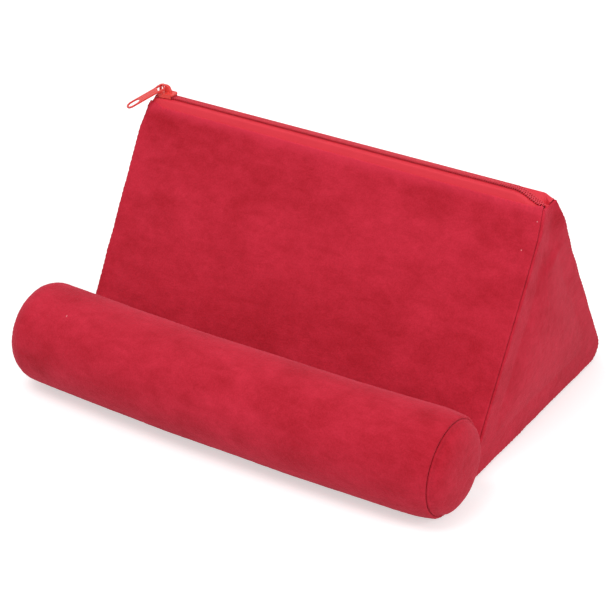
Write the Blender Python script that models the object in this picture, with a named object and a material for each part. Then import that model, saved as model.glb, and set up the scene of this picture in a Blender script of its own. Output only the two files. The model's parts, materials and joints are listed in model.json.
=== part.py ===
"""Tablet cushion stand: a padded wedge with a padded roll sewn along its front edge.

Metres, +Z up, +X along the roll. The cushion stands on z = 0 and the origin is under
the middle of its bounding box. The sloping front panel faces -Y. A coil zip runs
along the ridge, with its slider at the -X end.
"""
import bisect
import math

import bmesh
import bpy
from mathutils import Matrix, Vector

# Wedge cushion
WEDGE_WIDTH = 0.2490
RIDGE_HEIGHT = 0.1317
FRONT_SLOPE = math.radians(60.5)
BASE_DEPTH = 0.1637
RIDGE_WIDTH = 0.0088
TAPE_RISE = 0.0051
FRONT_CORNER_RADIUS = 0.0025
BACK_CORNER_RADIUS = 0.0100
RIDGE_RADIUS = 0.0010
FRONT_CROWN = 0.0015
BACK_CROWN = 0.0030
GUSSET_CROWN = 0.0025
FABRIC = 0.0016
SEAM_GAP = 0.0003
FRONT_STEP = 0.022
BACK_STEP = 0.024
BASE_STEP = 0.060
GUSSET_STEP = 0.030

# Roll, and the web that joins it to the wedge
ROLL_RADIUS = 0.0278
ROLL_OVERHANG = 0.00375
ROLL_BOW = 0.0036
ROLL_TO_WEDGE = 0.0243
ROLL_END_TAPER = 0.0016
TAPER_LENGTH = 0.0160
CAP_BULGE = 0.0064
WEB_INSET = 0.0045
WEB_HEIGHT = 0.0016
WEB_STEP = 0.0005
WEB_ANGLE = math.radians(-62.0)
ROLL_SIDES = 36

# Zip
TAPE = 0.0006
TAPE_SPLIT = 0.0020
CHAIN_WIDTH = 0.0044
COIL_HEIGHT = 0.0015
COIL_PITCH = 0.0026
COIL_WAVE = 0.0004
COIL_CHAMFER = 0.0005
COIL_OPENING = 0.0022
ZIP_CLEARANCE = 0.0002
RIGHT_BEND = 0.0190
LEFT_BEND = 0.0036
CHAIN_FORWARD = 0.0033
CHAIN_END_RISE = 0.0008

# Slider and pull tab
SLIDER_LENGTH = 0.0100
SLIDER_SHOULDER = 0.0076
SLIDER_EXIT = 0.0064
SLIDER_PLATE = 0.0009
SLIDER_LIP = 0.0005
SLIDER_PLAY = 0.0003
SHOULDER_LENGTH = 0.0036
SHOULDER_TAPER = 0.0016
SLIDER_CORNER = 0.0010
NOSE_REACH = 0.0004
NOSE_WIDTH = 0.0020
DIAMOND_WIDTH = 0.0014
DIAMOND_LENGTH = 0.0034
DIAMOND_TIP = 0.0004
DIAMOND_LEAD = 0.0012
BRIDGE_WIDTH = 0.0012
BRIDGE_THICKNESS = 0.0006
BRIDGE_LENGTH = 0.0078
BRIDGE_HEADROOM = 0.0009
BRIDGE_CORNER = 0.0010
BRIDGE_SLOPE = 0.0026
BRIDGE_FOOT = 0.0010
PIVOT_FROM_BRIDGE_END = 0.0022
TAB_PIVOT_HEIGHT = 0.0026
TAB_LENGTH = 0.0234
TAB_WIDTH = 0.0056
TAB_HEAD_WIDTH = 0.0080
TAB_THICKNESS = 0.0009
TAB_CORNER = 0.0010
TAB_NECK = 0.0022
TAB_SLOT_LENGTH = 0.0082
TAB_SLOT_WIDTH = 0.0042
EYE_LENGTH = 0.0032
EYE_WIDTH = 0.0058
EYE_BAR = 0.0009
EYE_DRAFT = 0.0004
WELD = 0.0003
TAB_SWING = math.radians(45.0)
TAB_DROP = math.radians(27.0)

# Places that follow from the sizes
PANEL_TOP = RIDGE_HEIGHT - TAPE_RISE
RUN = RIDGE_HEIGHT / math.tan(FRONT_SLOPE)
BACK_RUN = BASE_DEPTH - RUN - RIDGE_WIDTH
BACK_ANGLE = math.atan2(RIDGE_HEIGHT, BACK_RUN)
BACK_ROUNDING = BACK_CORNER_RADIUS / math.tan(BACK_ANGLE / 2) - BACK_CORNER_RADIUS
DEPTH = ROLL_RADIUS + ROLL_BOW + ROLL_TO_WEDGE + BASE_DEPTH - BACK_ROUNDING
FRONT_EDGE_Y = -DEPTH / 2 + ROLL_RADIUS + ROLL_BOW + ROLL_TO_WEDGE
BACK_EDGE_Y = FRONT_EDGE_Y + BASE_DEPTH
RIDGE_Y = FRONT_EDGE_Y + RUN + RIDGE_WIDTH / 2
ROLL_Y = FRONT_EDGE_Y - ROLL_TO_WEDGE
HALF = WEDGE_WIDTH / 2
ROLL_LENGTH = WEDGE_WIDTH + 2 * ROLL_OVERHANG
WEB_WIDTH = WEDGE_WIDTH - 2 * WEB_INSET
TAPE_Z = RIDGE_HEIGHT - TAPE / 2
MITRE = SEAM_GAP / math.sqrt(2)
CHAIN_END_X = HALF - FABRIC - SEAM_GAP
SLIDER_X = -CHAIN_END_X + LEFT_BEND + SLIDER_LENGTH / 2 + SLIDER_PLAY
COIL_TOP = TAPE / 2 + ZIP_CLEARANCE + COIL_HEIGHT
PLATE_Z = COIL_TOP + SLIDER_PLAY
NOSE = -SLIDER_LENGTH / 2 - NOSE_REACH
TAB_PIVOT = Vector((SLIDER_X + NOSE + PIVOT_FROM_BRIDGE_END, RIDGE_Y,
                    TAPE_Z + PLATE_Z + SLIDER_PLATE + TAB_PIVOT_HEIGHT))
FOAM_TOP = PANEL_TOP - FABRIC


def clear_scene():
    for old in list(bpy.data.objects):
        bpy.data.objects.remove(old, do_unlink=True)


def material(name, colour, roughness, metallic=0.0):
    made = bpy.data.materials.new(name)
    made.use_nodes = True
    shader = made.node_tree.nodes["Principled BSDF"]
    shader.inputs["Base Color"].default_value = (*colour, 1.0)
    shader.inputs["Roughness"].default_value = roughness
    shader.inputs["Metallic"].default_value = metallic
    return made


def add_object(name, verts, faces, finish):
    """An object from its vertices and faces, with every face turned outwards."""
    mesh = bpy.data.meshes.new(name)
    mesh.from_pydata([tuple(v) for v in verts], [], faces)
    shape = bmesh.new()
    shape.from_mesh(mesh)
    bmesh.ops.recalc_face_normals(shape, faces=shape.faces)
    shape.to_mesh(mesh)
    shape.free()
    made = bpy.data.objects.new(name, mesh)
    bpy.context.scene.collection.objects.link(made)
    mesh.shade_smooth()
    mesh.set_sharp_from_angle(angle=math.radians(40))
    mesh.materials.append(finish)
    return made


def smoothstep(value):
    value = max(0.0, min(1.0, value))
    return value * value * (3 - 2 * value)


def spread(first, last, count):
    return [first + (last - first) * i / (count - 1) for i in range(count)]


# Profiles in the YZ plane

def rounded_polygon(corners, radii, steps):
    """A closed counter-clockwise outline whose corners are replaced by arcs."""
    outline = []
    count = len(corners)
    for i, corner in enumerate(corners):
        here = Vector(corner)
        before = (Vector(corners[i - 1]) - here).normalized()
        after = (Vector(corners[(i + 1) % count]) - here).normalized()
        half_angle = before.angle(after) / 2
        reach = radii[i] / math.tan(half_angle)
        centre = here + (before + after).normalized() * (radii[i] / math.sin(half_angle))
        start = here + before * reach - centre
        turn = math.pi - 2 * half_angle
        for k in range(steps[i] + 1):
            angle = turn * k / steps[i]
            cos, sin = math.cos(angle), math.sin(angle)
            outline.append(centre + Vector((start.x * cos - start.y * sin,
                                            start.x * sin + start.y * cos)))
    return outline


class Outline:
    """A closed outline that is read by the distance along it, with outward normals."""

    def __init__(self, points):
        self.points = points
        self.at = [0.0]
        for i in range(len(points)):
            step = (points[(i + 1) % len(points)] - points[i]).length
            self.at.append(self.at[-1] + step)
        self.total = self.at[-1]

    def corner_normal(self, i):
        count = len(self.points)
        before = (self.points[i % count] - self.points[i - 1]).normalized()
        after = (self.points[(i + 1) % count] - self.points[i % count]).normalized()
        along = (before + after).normalized()
        return Vector((along.y, -along.x)) / max(0.5, along.dot(after))

    def read(self, distance):
        distance %= self.total
        i = bisect.bisect_right(self.at, distance) - 1
        i = min(i, len(self.points) - 1)
        share = (distance - self.at[i]) / (self.at[i + 1] - self.at[i])
        point = self.points[i].lerp(self.points[(i + 1) % len(self.points)], share)
        normal = self.corner_normal(i).lerp(self.corner_normal(i + 1), share)
        return point, normal

    def stretch(self, first, last, longest):
        """Distances from first to last that keep each corner between them."""
        corners = [d + lap * self.total for lap in (0, 1) for d in self.at[:-1]]
        stops = [first]
        stops += [d for d in corners if first + 1e-4 < d < last - 1e-4]
        stops.append(last)
        full = [first]
        for a, b in zip(stops, stops[1:]):
            pieces = max(1, math.ceil((b - a) / longest))
            full += [a + (b - a) * k / pieces for k in range(1, pieces + 1)]
        return full


ARC_STEPS = [4, 4, 2, 2]


def wedge_polygon(top):
    """The wedge's corners, counter-clockwise seen from +X: front, back, then the top."""
    front_top = FRONT_EDGE_Y + top / math.tan(FRONT_SLOPE)
    back_top = BACK_EDGE_Y - top / math.tan(BACK_ANGLE)
    return [(FRONT_EDGE_Y, 0.0), (BACK_EDGE_Y, 0.0), (back_top, top), (front_top, top)]


def wedge_outline(top):
    radii = [FRONT_CORNER_RADIUS, BACK_CORNER_RADIUS, FRONT_CORNER_RADIUS, FRONT_CORNER_RADIUS]
    return Outline(rounded_polygon(wedge_polygon(top), radii, ARC_STEPS))


def arc_end(outline, corner, end):
    """The distance to the start (0) or the end (1) of one rounded corner."""
    start = sum(steps + 1 for steps in ARC_STEPS[:corner])
    return outline.at[start + end * ARC_STEPS[corner]]


def corner_distance(outline, corner):
    """The distance to the middle of one rounded corner."""
    return (arc_end(outline, corner, 0) + arc_end(outline, corner, 1)) / 2


# Solids

def grid_shell(name, outer, inner, finish):
    """A closed shell between two equal grids of points, with a wall round its rim."""
    rows, columns = len(outer), len(outer[0])
    verts = [p for row in outer for p in row] + [p for row in inner for p in row]
    below = rows * columns

    def index(r, c):
        return r * columns + c

    faces = []
    for r in range(rows - 1):
        for c in range(columns - 1):
            quad = (index(r, c), index(r, c + 1), index(r + 1, c + 1), index(r + 1, c))
            faces.append(quad)
            faces.append(tuple(below + v for v in reversed(quad)))
    rim = [index(0, c) for c in range(columns)]
    rim += [index(r, columns - 1) for r in range(1, rows)]
    rim += [index(rows - 1, c) for c in range(columns - 2, -1, -1)]
    rim += [index(r, 0) for r in range(rows - 2, 0, -1)]
    for a, b in zip(rim, rim[1:] + rim[:1]):
        faces.append((b, a, below + a, below + b))
    return add_object(name, verts, faces, finish)


def loop_solid(name, loops, finish):
    """A solid lofted through closed loops of equal length, with a flat cap at each end."""
    count = len(loops[0])
    verts = [p for loop in loops for p in loop]
    faces = []
    for r in range(len(loops) - 1):
        for c in range(count):
            d = (c + 1) % count
            faces.append((r * count + c, r * count + d, (r + 1) * count + d, (r + 1) * count + c))
    faces.append(tuple(range(count - 1, -1, -1)))
    last = (len(loops) - 1) * count
    faces.append(tuple(range(last, last + count)))
    return add_object(name, verts, faces, finish)


def disc_shell(name, outer, inner, outer_pole, inner_pole, finish):
    """A dished disc: rings from the rim inwards on both faces, each closed by one pole."""
    count = len(outer[0])
    verts = [p for ring in outer for p in ring] + [p for ring in inner for p in ring]
    below = len(outer) * count
    top_pole = 2 * below
    verts += [outer_pole, inner_pole]
    faces = []
    for r in range(len(outer) - 1):
        for c in range(count):
            d = (c + 1) % count
            quad = (r * count + c, r * count + d, (r + 1) * count + d, (r + 1) * count + c)
            faces.append(quad)
            faces.append(tuple(below + v for v in reversed(quad)))
    last = (len(outer) - 1) * count
    for c in range(count):
        d = (c + 1) % count
        faces.append((last + c, last + d, top_pole))
        faces.append((below + last + d, below + last + c, top_pole + 1))
        faces.append((d, c, below + c, below + d))
    return add_object(name, verts, faces, finish)


# Wedge cover

def wedge_panel(name, outline, first, last, crown, longest, columns, finish):
    """A sheet of the cover between two seams, crowned outwards in its middle."""
    outer, inner = [], []
    first += SEAM_GAP / 2
    last -= SEAM_GAP / 2
    for d in outline.stretch(first, last, longest):
        point, normal = outline.read(d)
        share = (d - first) / (last - first)
        row_out, row_in = [], []
        for k in spread(-1, 1, columns):
            swell = crown * math.sin(math.pi * share) ** 2 * (1 - k * k)
            out = point + normal * swell
            back = out - normal * FABRIC
            row_out.append((k * (HALF - MITRE), out.x, out.y))
            row_in.append((k * (HALF - FABRIC - MITRE), back.x, back.y))
        outer.append(row_out)
        inner.append(row_in)
    return grid_shell(name, outer, inner, finish)


GUSSET_RINGS = (0.0, 0.10, 0.28, 0.55, 0.80)


def gusset(name, side, outline, finish):
    """A side of the wedge, bulged outwards and mitred against the panels round it."""
    stops = outline.stretch(0.0, outline.total, GUSSET_STEP)[:-1]
    centre = Vector((0.0, 0.0))
    for d in stops:
        centre += outline.read(d)[0] / len(stops)
    outer, inner = [], []
    for ring in GUSSET_RINGS:
        out_ring, in_ring = [], []
        for d in stops:
            point, normal = outline.read(d)
            edge_out = (point - normal * MITRE).lerp(centre, ring)
            edge_in = (point - normal * (FABRIC + MITRE)).lerp(centre, ring)
            swell = GUSSET_CROWN * (1 - (1 - ring) ** 2)
            out_ring.append((side * (HALF + swell), edge_out.x, edge_out.y))
            in_ring.append((side * (HALF + swell - FABRIC), edge_in.x, edge_in.y))
        outer.append(out_ring)
        inner.append(in_ring)
    peak = side * (HALF + GUSSET_CROWN)
    return disc_shell(name, outer, inner, (peak, centre.x, centre.y),
                      (peak - side * FABRIC, centre.x, centre.y), finish)


def build_wedge(plush, foam):
    body = wedge_outline(PANEL_TOP)
    front = corner_distance(body, 0)
    back = corner_distance(body, 1)
    back_top = arc_end(body, 2, 0)
    front_top = arc_end(body, 3, 1)
    wedge_panel("base_panel", body, front, back, 0.0, BASE_STEP, 7, plush)
    wedge_panel("back_panel", body, back, back_top, BACK_CROWN, BACK_STEP, 11, plush)
    wedge_panel("front_panel", body, front_top, body.total + front, FRONT_CROWN, FRONT_STEP, 11,
                plush)
    gusset("right_gusset", 1, body, plush)
    gusset("left_gusset", -1, body, plush)

    ends = []
    for x in (-1, 1):
        loop = []
        for d in body.stretch(0.0, body.total, body.total)[:-1]:
            point, normal = body.read(d)
            point = point - normal * (FABRIC + SEAM_GAP)
            loop.append((x * (HALF - FABRIC - 2 * SEAM_GAP), point.x, min(point.y, FOAM_TOP)))
        ends.append(loop)
    loop_solid("foam_wedge", ends, foam)


# Zip along the ridge

def bend(x):
    """How far the zip has come down to the side seam: 0 over the ridge, 1 at its ends."""
    if x > 0:
        return smoothstep((x - (CHAIN_END_X - RIGHT_BEND)) / RIGHT_BEND)
    return smoothstep((-x - (CHAIN_END_X - LEFT_BEND)) / LEFT_BEND)


def chain_place(x):
    """The middle of the chain, on the mid-plane of the tape."""
    share = bend(x)
    low = PANEL_TOP + CHAIN_END_RISE
    forward = CHAIN_FORWARD * share if x > 0 else 0.0
    return Vector((RIDGE_Y - forward, TAPE_Z + (low - TAPE_Z) * share))


def zip_stations(fine):
    stops = spread(-CHAIN_END_X, -CHAIN_END_X + LEFT_BEND, 5)
    stops += spread(stops[-1], CHAIN_END_X - RIGHT_BEND, fine)[1:]
    stops += spread(stops[-1], CHAIN_END_X, 9)[1:]
    return stops


def coil_spread(x):
    """How far each row stands off the middle line: open to the left of the diamond."""
    closed_from = SLIDER_X - SLIDER_LENGTH / 2 + DIAMOND_LENGTH + DIAMOND_LEAD
    open_by = DIAMOND_WIDTH / 2 + ZIP_CLEARANCE
    return open_by * smoothstep((closed_from - x) / COIL_OPENING)


def tape_section(x, side):
    """The tape's mid-line from the panel's top edge to the chain. side is -1 in front."""
    share = bend(x)
    if side < 0 or x < 0:
        share = min(1.0, 1.8 * share)
    chain = chain_place(x)
    angle = FRONT_SLOPE if side < 0 else BACK_ANGLE
    inward = -side
    climb = Vector((inward * math.cos(angle), math.sin(angle)))
    into_wedge = Vector((inward * math.sin(angle), -math.cos(angle)))
    corner = Vector(wedge_polygon(PANEL_TOP)[3 if side < 0 else 2])
    panel_edge = corner - climb * FRONT_CORNER_RADIUS * math.tan(angle / 2)
    foot = panel_edge + climb * SEAM_GAP / 2 + into_wedge * (TAPE / 2 + ZIP_CLEARANCE)
    crest = RIDGE_Y + side * RIDGE_WIDTH / 2
    arc = []
    tangent = RIDGE_RADIUS * math.tan(angle / 2)
    centre = Vector((crest + inward * tangent, TAPE_Z - RIDGE_RADIUS))
    for k in range(4):
        lean = angle * (1 - k / 3)
        arc.append(centre + Vector((side * math.sin(lean), math.cos(lean))) * RIDGE_RADIUS)
    edge = Vector((chain.x + side * TAPE_SPLIT / 2, chain.y))
    bed = Vector((chain.x + side * (CHAIN_WIDTH / 2 + coil_spread(x) + SEAM_GAP), chain.y))
    line = []
    for k, point in enumerate(arc):
        straight = foot.lerp(bed, (k + 0.5) / (len(arc) + 0.5))
        line.append(point.lerp(straight, share))
    return [foot] + line + [bed, edge]


def ribbon_loop(x, line, thickness):
    """A closed section round a mid-line in the YZ plane."""
    upper, lower = [], []
    for i, point in enumerate(line):
        ahead = line[min(i + 1, len(line) - 1)]
        behind = line[max(i - 1, 0)]
        along = (ahead - behind).normalized()
        normal = Vector((-along.y, along.x)) * (thickness / 2)
        upper.append((x, point.x + normal.x, point.y + normal.y))
        lower.append((x, point.x - normal.x, point.y - normal.y))
    return upper + lower[::-1]


def build_tape(name, side, finish):
    loops = []
    for x in zip_stations(9):
        loops.append(ribbon_loop(x, tape_section(x, side), TAPE))
    return loop_solid(name, loops, finish)


def build_coil(name, side, finish):
    """One row of the coil: a strip whose inner edge and top rise and fall with its turns."""
    pitches = math.floor(2 * CHAIN_END_X / COIL_PITCH)
    step = CHAIN_END_X / pitches
    loops = []
    for i in range(2 * pitches + 1):
        x = -CHAIN_END_X + i * step
        wave = COIL_WAVE if i % 2 else 0.0
        place = chain_place(x)
        apart = coil_spread(x)
        inner_y = SEAM_GAP / 2 + apart + (wave if side > 0 else COIL_WAVE - wave) / 2
        outer_y = CHAIN_WIDTH / 2 + apart
        low = place.y + TAPE / 2 + ZIP_CLEARANCE
        high = low + COIL_HEIGHT - wave
        shoulder = outer_y - COIL_CHAMFER
        loops.append([(x, place.x + side * inner_y, low),
                      (x, place.x + side * outer_y, low),
                      (x, place.x + side * outer_y, high - COIL_CHAMFER),
                      (x, place.x + side * shoulder, high),
                      (x, place.x + side * inner_y, high)])
    return loop_solid(name, loops, finish)


# Slider and pull tab

def prism(name, outline, low, high, finish):
    """An outline in the XY plane, counter-clockwise, raised from low to high."""
    loops = [[(x, y, z) for x, y in outline] for z in (low, high)]
    return loop_solid(name, loops, finish)


def boolean(target, other, operation):
    modifier = target.modifiers.new(other.name, "BOOLEAN")
    modifier.operation = operation
    modifier.object = other
    other.hide_render = True
    other.display_type = "WIRE"


def plate_edge():
    """One long edge of the slider's plate: a wide shoulder, then a narrower exit."""
    left, right = -SLIDER_LENGTH / 2, SLIDER_LENGTH / 2
    shoulder, leave = SLIDER_SHOULDER / 2, SLIDER_EXIT / 2
    return [(left + SLIDER_CORNER, shoulder), (left + SHOULDER_LENGTH, shoulder),
            (left + SHOULDER_LENGTH + SHOULDER_TAPER, leave), (right - SLIDER_CORNER, leave)]


def plate_outline():
    """The slider's plate: a rounded nose, its two long edges and its blunt exit."""
    left, right = -SLIDER_LENGTH / 2, SLIDER_LENGTH / 2
    edge = [(NOSE, NOSE_WIDTH / 2), (left, SLIDER_SHOULDER / 2 - SLIDER_CORNER)]
    edge += plate_edge()
    edge.append((right, SLIDER_EXIT / 2 - SLIDER_CORNER))
    return [(x, -y) for x, y in edge] + edge[::-1]


def side_wall(side):
    """The lip that turns down from one long edge of the upper plate."""
    outer = plate_edge()
    inner = [(x, y - SLIDER_LIP) for x, y in outer]
    loop = outer[::-1] + inner
    if side < 0:
        return [(x, -y) for x, y in reversed(loop)]
    return loop


def build_slider(metal):
    """A slider cast in one: two plates, the diamond between them, lips and a bridge."""
    top_low, top_high = PLATE_Z, PLATE_Z + SLIDER_PLATE
    floor_high = -TAPE / 2 - SLIDER_PLAY
    left = -SLIDER_LENGTH / 2
    body = prism("zip_slider", plate_outline(), top_low, top_high, metal)
    pieces = [prism("slider_floor", plate_outline(), floor_high - SLIDER_PLATE, floor_high, metal)]
    shoulder_x, tip_x = left + SLIDER_CORNER, left + DIAMOND_LENGTH
    diamond = [(left, 0.0), (shoulder_x, -DIAMOND_WIDTH / 2), (tip_x, -DIAMOND_TIP / 2),
               (tip_x, DIAMOND_TIP / 2), (shoulder_x, DIAMOND_WIDTH / 2)]
    pieces.append(prism("slider_diamond", diamond, floor_high - WELD, top_low + WELD, metal))
    for name, side in (("slider_lip_front", -1), ("slider_lip_back", 1)):
        pieces.append(prism(name, side_wall(side), TAPE / 2 + SLIDER_PLAY, top_low + WELD, metal))
    pieces.append(bridge_arch(top_high, metal))
    for piece in pieces:
        boolean(body, piece, "UNION")
        piece.parent = body
    body.location = (SLIDER_X, RIDGE_Y, TAPE_Z)
    return body


def bridge_arch(plate_top, metal):
    """The bridge: a strap bent over the upper plate along the slider."""
    start, end = NOSE, NOSE + BRIDGE_LENGTH
    under = plate_top + TAB_PIVOT_HEIGHT + BRIDGE_HEADROOM
    over = under + BRIDGE_THICKNESS
    root = plate_top - WELD
    inner_start, inner_end = start + BRIDGE_THICKNESS, end - BRIDGE_THICKNESS
    inner_corner = BRIDGE_CORNER - BRIDGE_THICKNESS
    slope_start = end - BRIDGE_SLOPE
    inside = [(inner_start, root), (inner_start, under - inner_corner),
              (inner_start + inner_corner, under), (slope_start - inner_corner, under),
              (inner_end, plate_top + BRIDGE_FOOT - inner_corner), (inner_end, root)]
    outside = [(start, root), (start, over - BRIDGE_CORNER), (start + BRIDGE_CORNER, over),
               (slope_start, over), (end, plate_top + BRIDGE_FOOT), (end, root)]
    loop = outside + inside[::-1]
    loops = [[(x, y, z) for x, z in loop] for y in (BRIDGE_WIDTH / 2, -BRIDGE_WIDTH / 2)]
    return loop_solid("slider_bridge", loops, metal)


def round_ended(length, width, start, steps):
    """A slot outline along +X from start, counter-clockwise, with round ends."""
    radius = width / 2
    points = []
    for middle, first in ((start + length - radius, -math.pi / 2), (start + radius, math.pi / 2)):
        for k in range(steps + 1):
            angle = first + math.pi * k / steps
            points.append((middle + radius * math.cos(angle), radius * math.sin(angle)))
    return points


def build_tab(metal):
    """The pull tab, modelled flat along +X from its pivot and then laid over the corner."""
    head_start = -EYE_BAR / 2
    half_head, half_body = TAB_HEAD_WIDTH / 2, TAB_WIDTH / 2
    tip = TAB_LENGTH - half_body
    lower = [(head_start, -half_head + TAB_CORNER), (head_start + TAB_CORNER, -half_head),
             (EYE_LENGTH, -half_head), (EYE_LENGTH + TAB_NECK, -half_body)]
    steps = 8
    for k in range(steps + 1):
        angle = math.pi / 2 * (k / steps - 1)
        lower.append((tip + half_body * math.cos(angle), half_body * math.sin(angle)))
    outline = lower + [(x, -y) for x, y in reversed(lower[:-1])]
    low, high = -TAB_THICKNESS / 2, TAB_THICKNESS / 2
    body = prism("pull_tab", outline, low, high, metal)
    eye_start, eye_end = EYE_BAR / 2, EYE_BAR / 2 + EYE_LENGTH
    eye = [(eye_start, -EYE_WIDTH / 2), (eye_end, -EYE_WIDTH / 2 + EYE_DRAFT),
           (eye_end, EYE_WIDTH / 2 - EYE_DRAFT), (eye_start, EYE_WIDTH / 2)]
    slot_start = TAB_LENGTH - TAB_SLOT_LENGTH - (TAB_WIDTH - TAB_SLOT_WIDTH) / 2
    slot = round_ended(TAB_SLOT_LENGTH, TAB_SLOT_WIDTH, slot_start, steps)
    for name, hole in (("tab_eye", eye), ("tab_slot", slot)):
        cutter = prism(name, hole, 2 * low, 2 * high, metal)
        boolean(body, cutter, "DIFFERENCE")
        cutter.parent = body
    body.matrix_world = tab_matrix()
    return body


def tab_matrix():
    """The tab's length runs to -X and -Y and drops; its width stays level."""
    along = Vector((-math.cos(TAB_DROP) * math.cos(TAB_SWING),
                    -math.cos(TAB_DROP) * math.sin(TAB_SWING), -math.sin(TAB_DROP)))
    across = Vector((math.sin(TAB_SWING), -math.cos(TAB_SWING), 0.0))
    up = along.cross(across)
    turn = Matrix((along, across, up)).transposed().to_4x4()
    return Matrix.Translation(TAB_PIVOT) @ turn


# Roll

def roll_centre(x):
    share = 2 * x / ROLL_LENGTH
    return Vector((ROLL_Y - ROLL_BOW * max(0.0, 1 - share * share), ROLL_RADIUS))


def roll_radius(x):
    into_end = (abs(x) - (ROLL_LENGTH / 2 - TAPER_LENGTH)) / TAPER_LENGTH
    return ROLL_RADIUS - ROLL_END_TAPER * max(0.0, into_end) ** 2


def roll_stations():
    """Places along the roll: close together in its tapered ends and at the web's ends."""
    reach = ROLL_LENGTH / 2 - MITRE
    inner = ROLL_LENGTH / 2 - TAPER_LENGTH
    ends = spread(inner, reach, 5)
    stops = [-x for x in reversed(ends)] + spread(-inner, inner, 9)[1:-1] + ends
    edge = WEB_WIDTH / 2
    return sorted(stops + [-edge - WEB_STEP, -edge, edge, edge + WEB_STEP])


def roll_angles():
    step = 2 * math.pi / ROLL_SIDES
    return [WEB_ANGLE + step * (k + 0.5) for k in range(ROLL_SIDES)]


def build_sleeve(plush):
    """The roll's skin, with a web of doubled cloth that runs low into the wedge's front seam."""
    tip_y = FRONT_EDGE_Y + FRONT_CORNER_RADIUS * (1 / math.tan(FRONT_SLOPE / 2) - 1) - SEAM_GAP
    loops_out, loops_in = [], []
    reach = ROLL_LENGTH / 2 - MITRE
    for x in roll_stations():
        centre = roll_centre(x)
        radius = roll_radius(x)
        inner_reach = FABRIC if abs(abs(x) - reach) < 1e-6 else 0.0
        inner_x = x - math.copysign(inner_reach, x)
        out_loop, in_loop = [], []
        for angle in roll_angles():
            ray = Vector((math.cos(angle), math.sin(angle)))
            out = centre + ray * radius
            back = roll_centre(inner_x) + ray * (roll_radius(inner_x) - FABRIC)
            out_loop.append((x, out.x, out.y))
            in_loop.append((inner_x, back.x, back.y))
        below, above = out_loop[-1], out_loop[0]
        if abs(x) <= WEB_WIDTH / 2 + 1e-6:
            middle = FRONT_CORNER_RADIUS
            out_loop.append((x, tip_y, middle - WEB_HEIGHT / 2))
            out_loop.append((x, tip_y, middle + WEB_HEIGHT / 2))
        else:
            for share in (1 / 3, 2 / 3):
                out_loop.append(tuple(Vector(below).lerp(Vector(above), share)))
        for share in (1 / 3, 2 / 3):
            in_loop.append(tuple(Vector(in_loop[ROLL_SIDES - 1]).lerp(Vector(in_loop[0]), share)))
        loops_out.append(out_loop)
        loops_in.append(in_loop)
    return tube(loops_out, loops_in, "roll_sleeve", plush)


def tube(loops_out, loops_in, name, finish):
    """An open tube between two sets of loops, closed by a ring of faces at each end."""
    rows, count = len(loops_out), len(loops_out[0])
    verts = [p for loop in loops_out for p in loop] + [p for loop in loops_in for p in loop]
    below = rows * count
    faces = []
    for c in range(count):
        d = (c + 1) % count
        for r in range(rows - 1):
            quad = (r * count + c, r * count + d, (r + 1) * count + d, (r + 1) * count + c)
            faces.append(quad)
            faces.append(tuple(below + v for v in reversed(quad)))
        faces.append((d, c, below + c, below + d))
        last = (rows - 1) * count
        faces.append((last + c, last + d, below + last + d, below + last + c))
    return add_object(name, verts, faces, finish)


def build_cap(name, side, plush):
    """A round end of the roll, domed outwards."""
    edge = ROLL_LENGTH / 2
    centre = roll_centre(edge)
    radius = roll_radius(edge)
    outer, inner = [], []
    for lift in (0.0, 0.18, 0.40, 0.62, 0.82):
        shrink = math.cos(lift * math.pi / 2)
        height = math.sin(lift * math.pi / 2)
        out_ring, in_ring = [], []
        for k in range(ROLL_SIDES):
            angle = 2 * math.pi * k / ROLL_SIDES
            ray = Vector((math.cos(angle), math.sin(angle)))
            out = centre + ray * (radius - MITRE) * shrink
            back = centre + ray * (radius - MITRE - FABRIC) * shrink
            out_ring.append((side * (edge + CAP_BULGE * height), out.x, out.y))
            in_ring.append((side * (edge - FABRIC + CAP_BULGE * height), back.x, back.y))
        outer.append(out_ring)
        inner.append(in_ring)
    peak = edge + CAP_BULGE
    return disc_shell(name, outer, inner, (side * peak, centre.x, centre.y),
                      (side * (peak - FABRIC), centre.x, centre.y), plush)


def build_core(foam):
    """The filling of the roll, which keeps a seam's gap to its skin."""
    edge = ROLL_LENGTH / 2 - FABRIC - 2 * SEAM_GAP
    loops = []
    for x in [-edge] + [x for x in roll_stations() if abs(x) < edge] + [edge]:
        centre = roll_centre(x)
        radius = roll_radius(x) - FABRIC - SEAM_GAP
        loops.append([(x, centre.x + radius * math.cos(angle), centre.y + radius * math.sin(angle))
                      for angle in roll_angles()])
    return loop_solid("roll_core", loops, foam)


def build():
    clear_scene()
    plush = material("red_plush", (0.52, 0.025, 0.045), 0.95)
    tape = material("red_woven_tape", (0.70, 0.035, 0.050), 0.75)
    coil = material("red_coil", (0.55, 0.030, 0.050), 0.45)
    painted = material("red_painted_zinc", (0.80, 0.080, 0.080), 0.30, 0.2)
    foam = material("pale_foam", (0.85, 0.80, 0.66), 0.95)
    build_wedge(plush, foam)
    build_tape("front_zip_tape", -1, tape)
    build_tape("back_zip_tape", 1, tape)
    build_coil("front_coil", -1, coil)
    build_coil("back_coil", 1, coil)
    build_slider(painted)
    build_tab(painted)
    build_sleeve(plush)
    build_cap("roll_cap_right", 1, plush)
    build_cap("roll_cap_left", -1, plush)
    build_core(foam)


build()
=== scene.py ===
"""Looks of the tablet cushion stand: plush covers over soft filling, and a coil zip.

Metres, in the frame's own axes: +X along the roll, +Y towards the back, +Z up.
"""
import json
import math

import bmesh
import bpy
import numpy as np
from mathutils import Matrix, Vector
from mathutils.kdtree import KDTree


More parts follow.
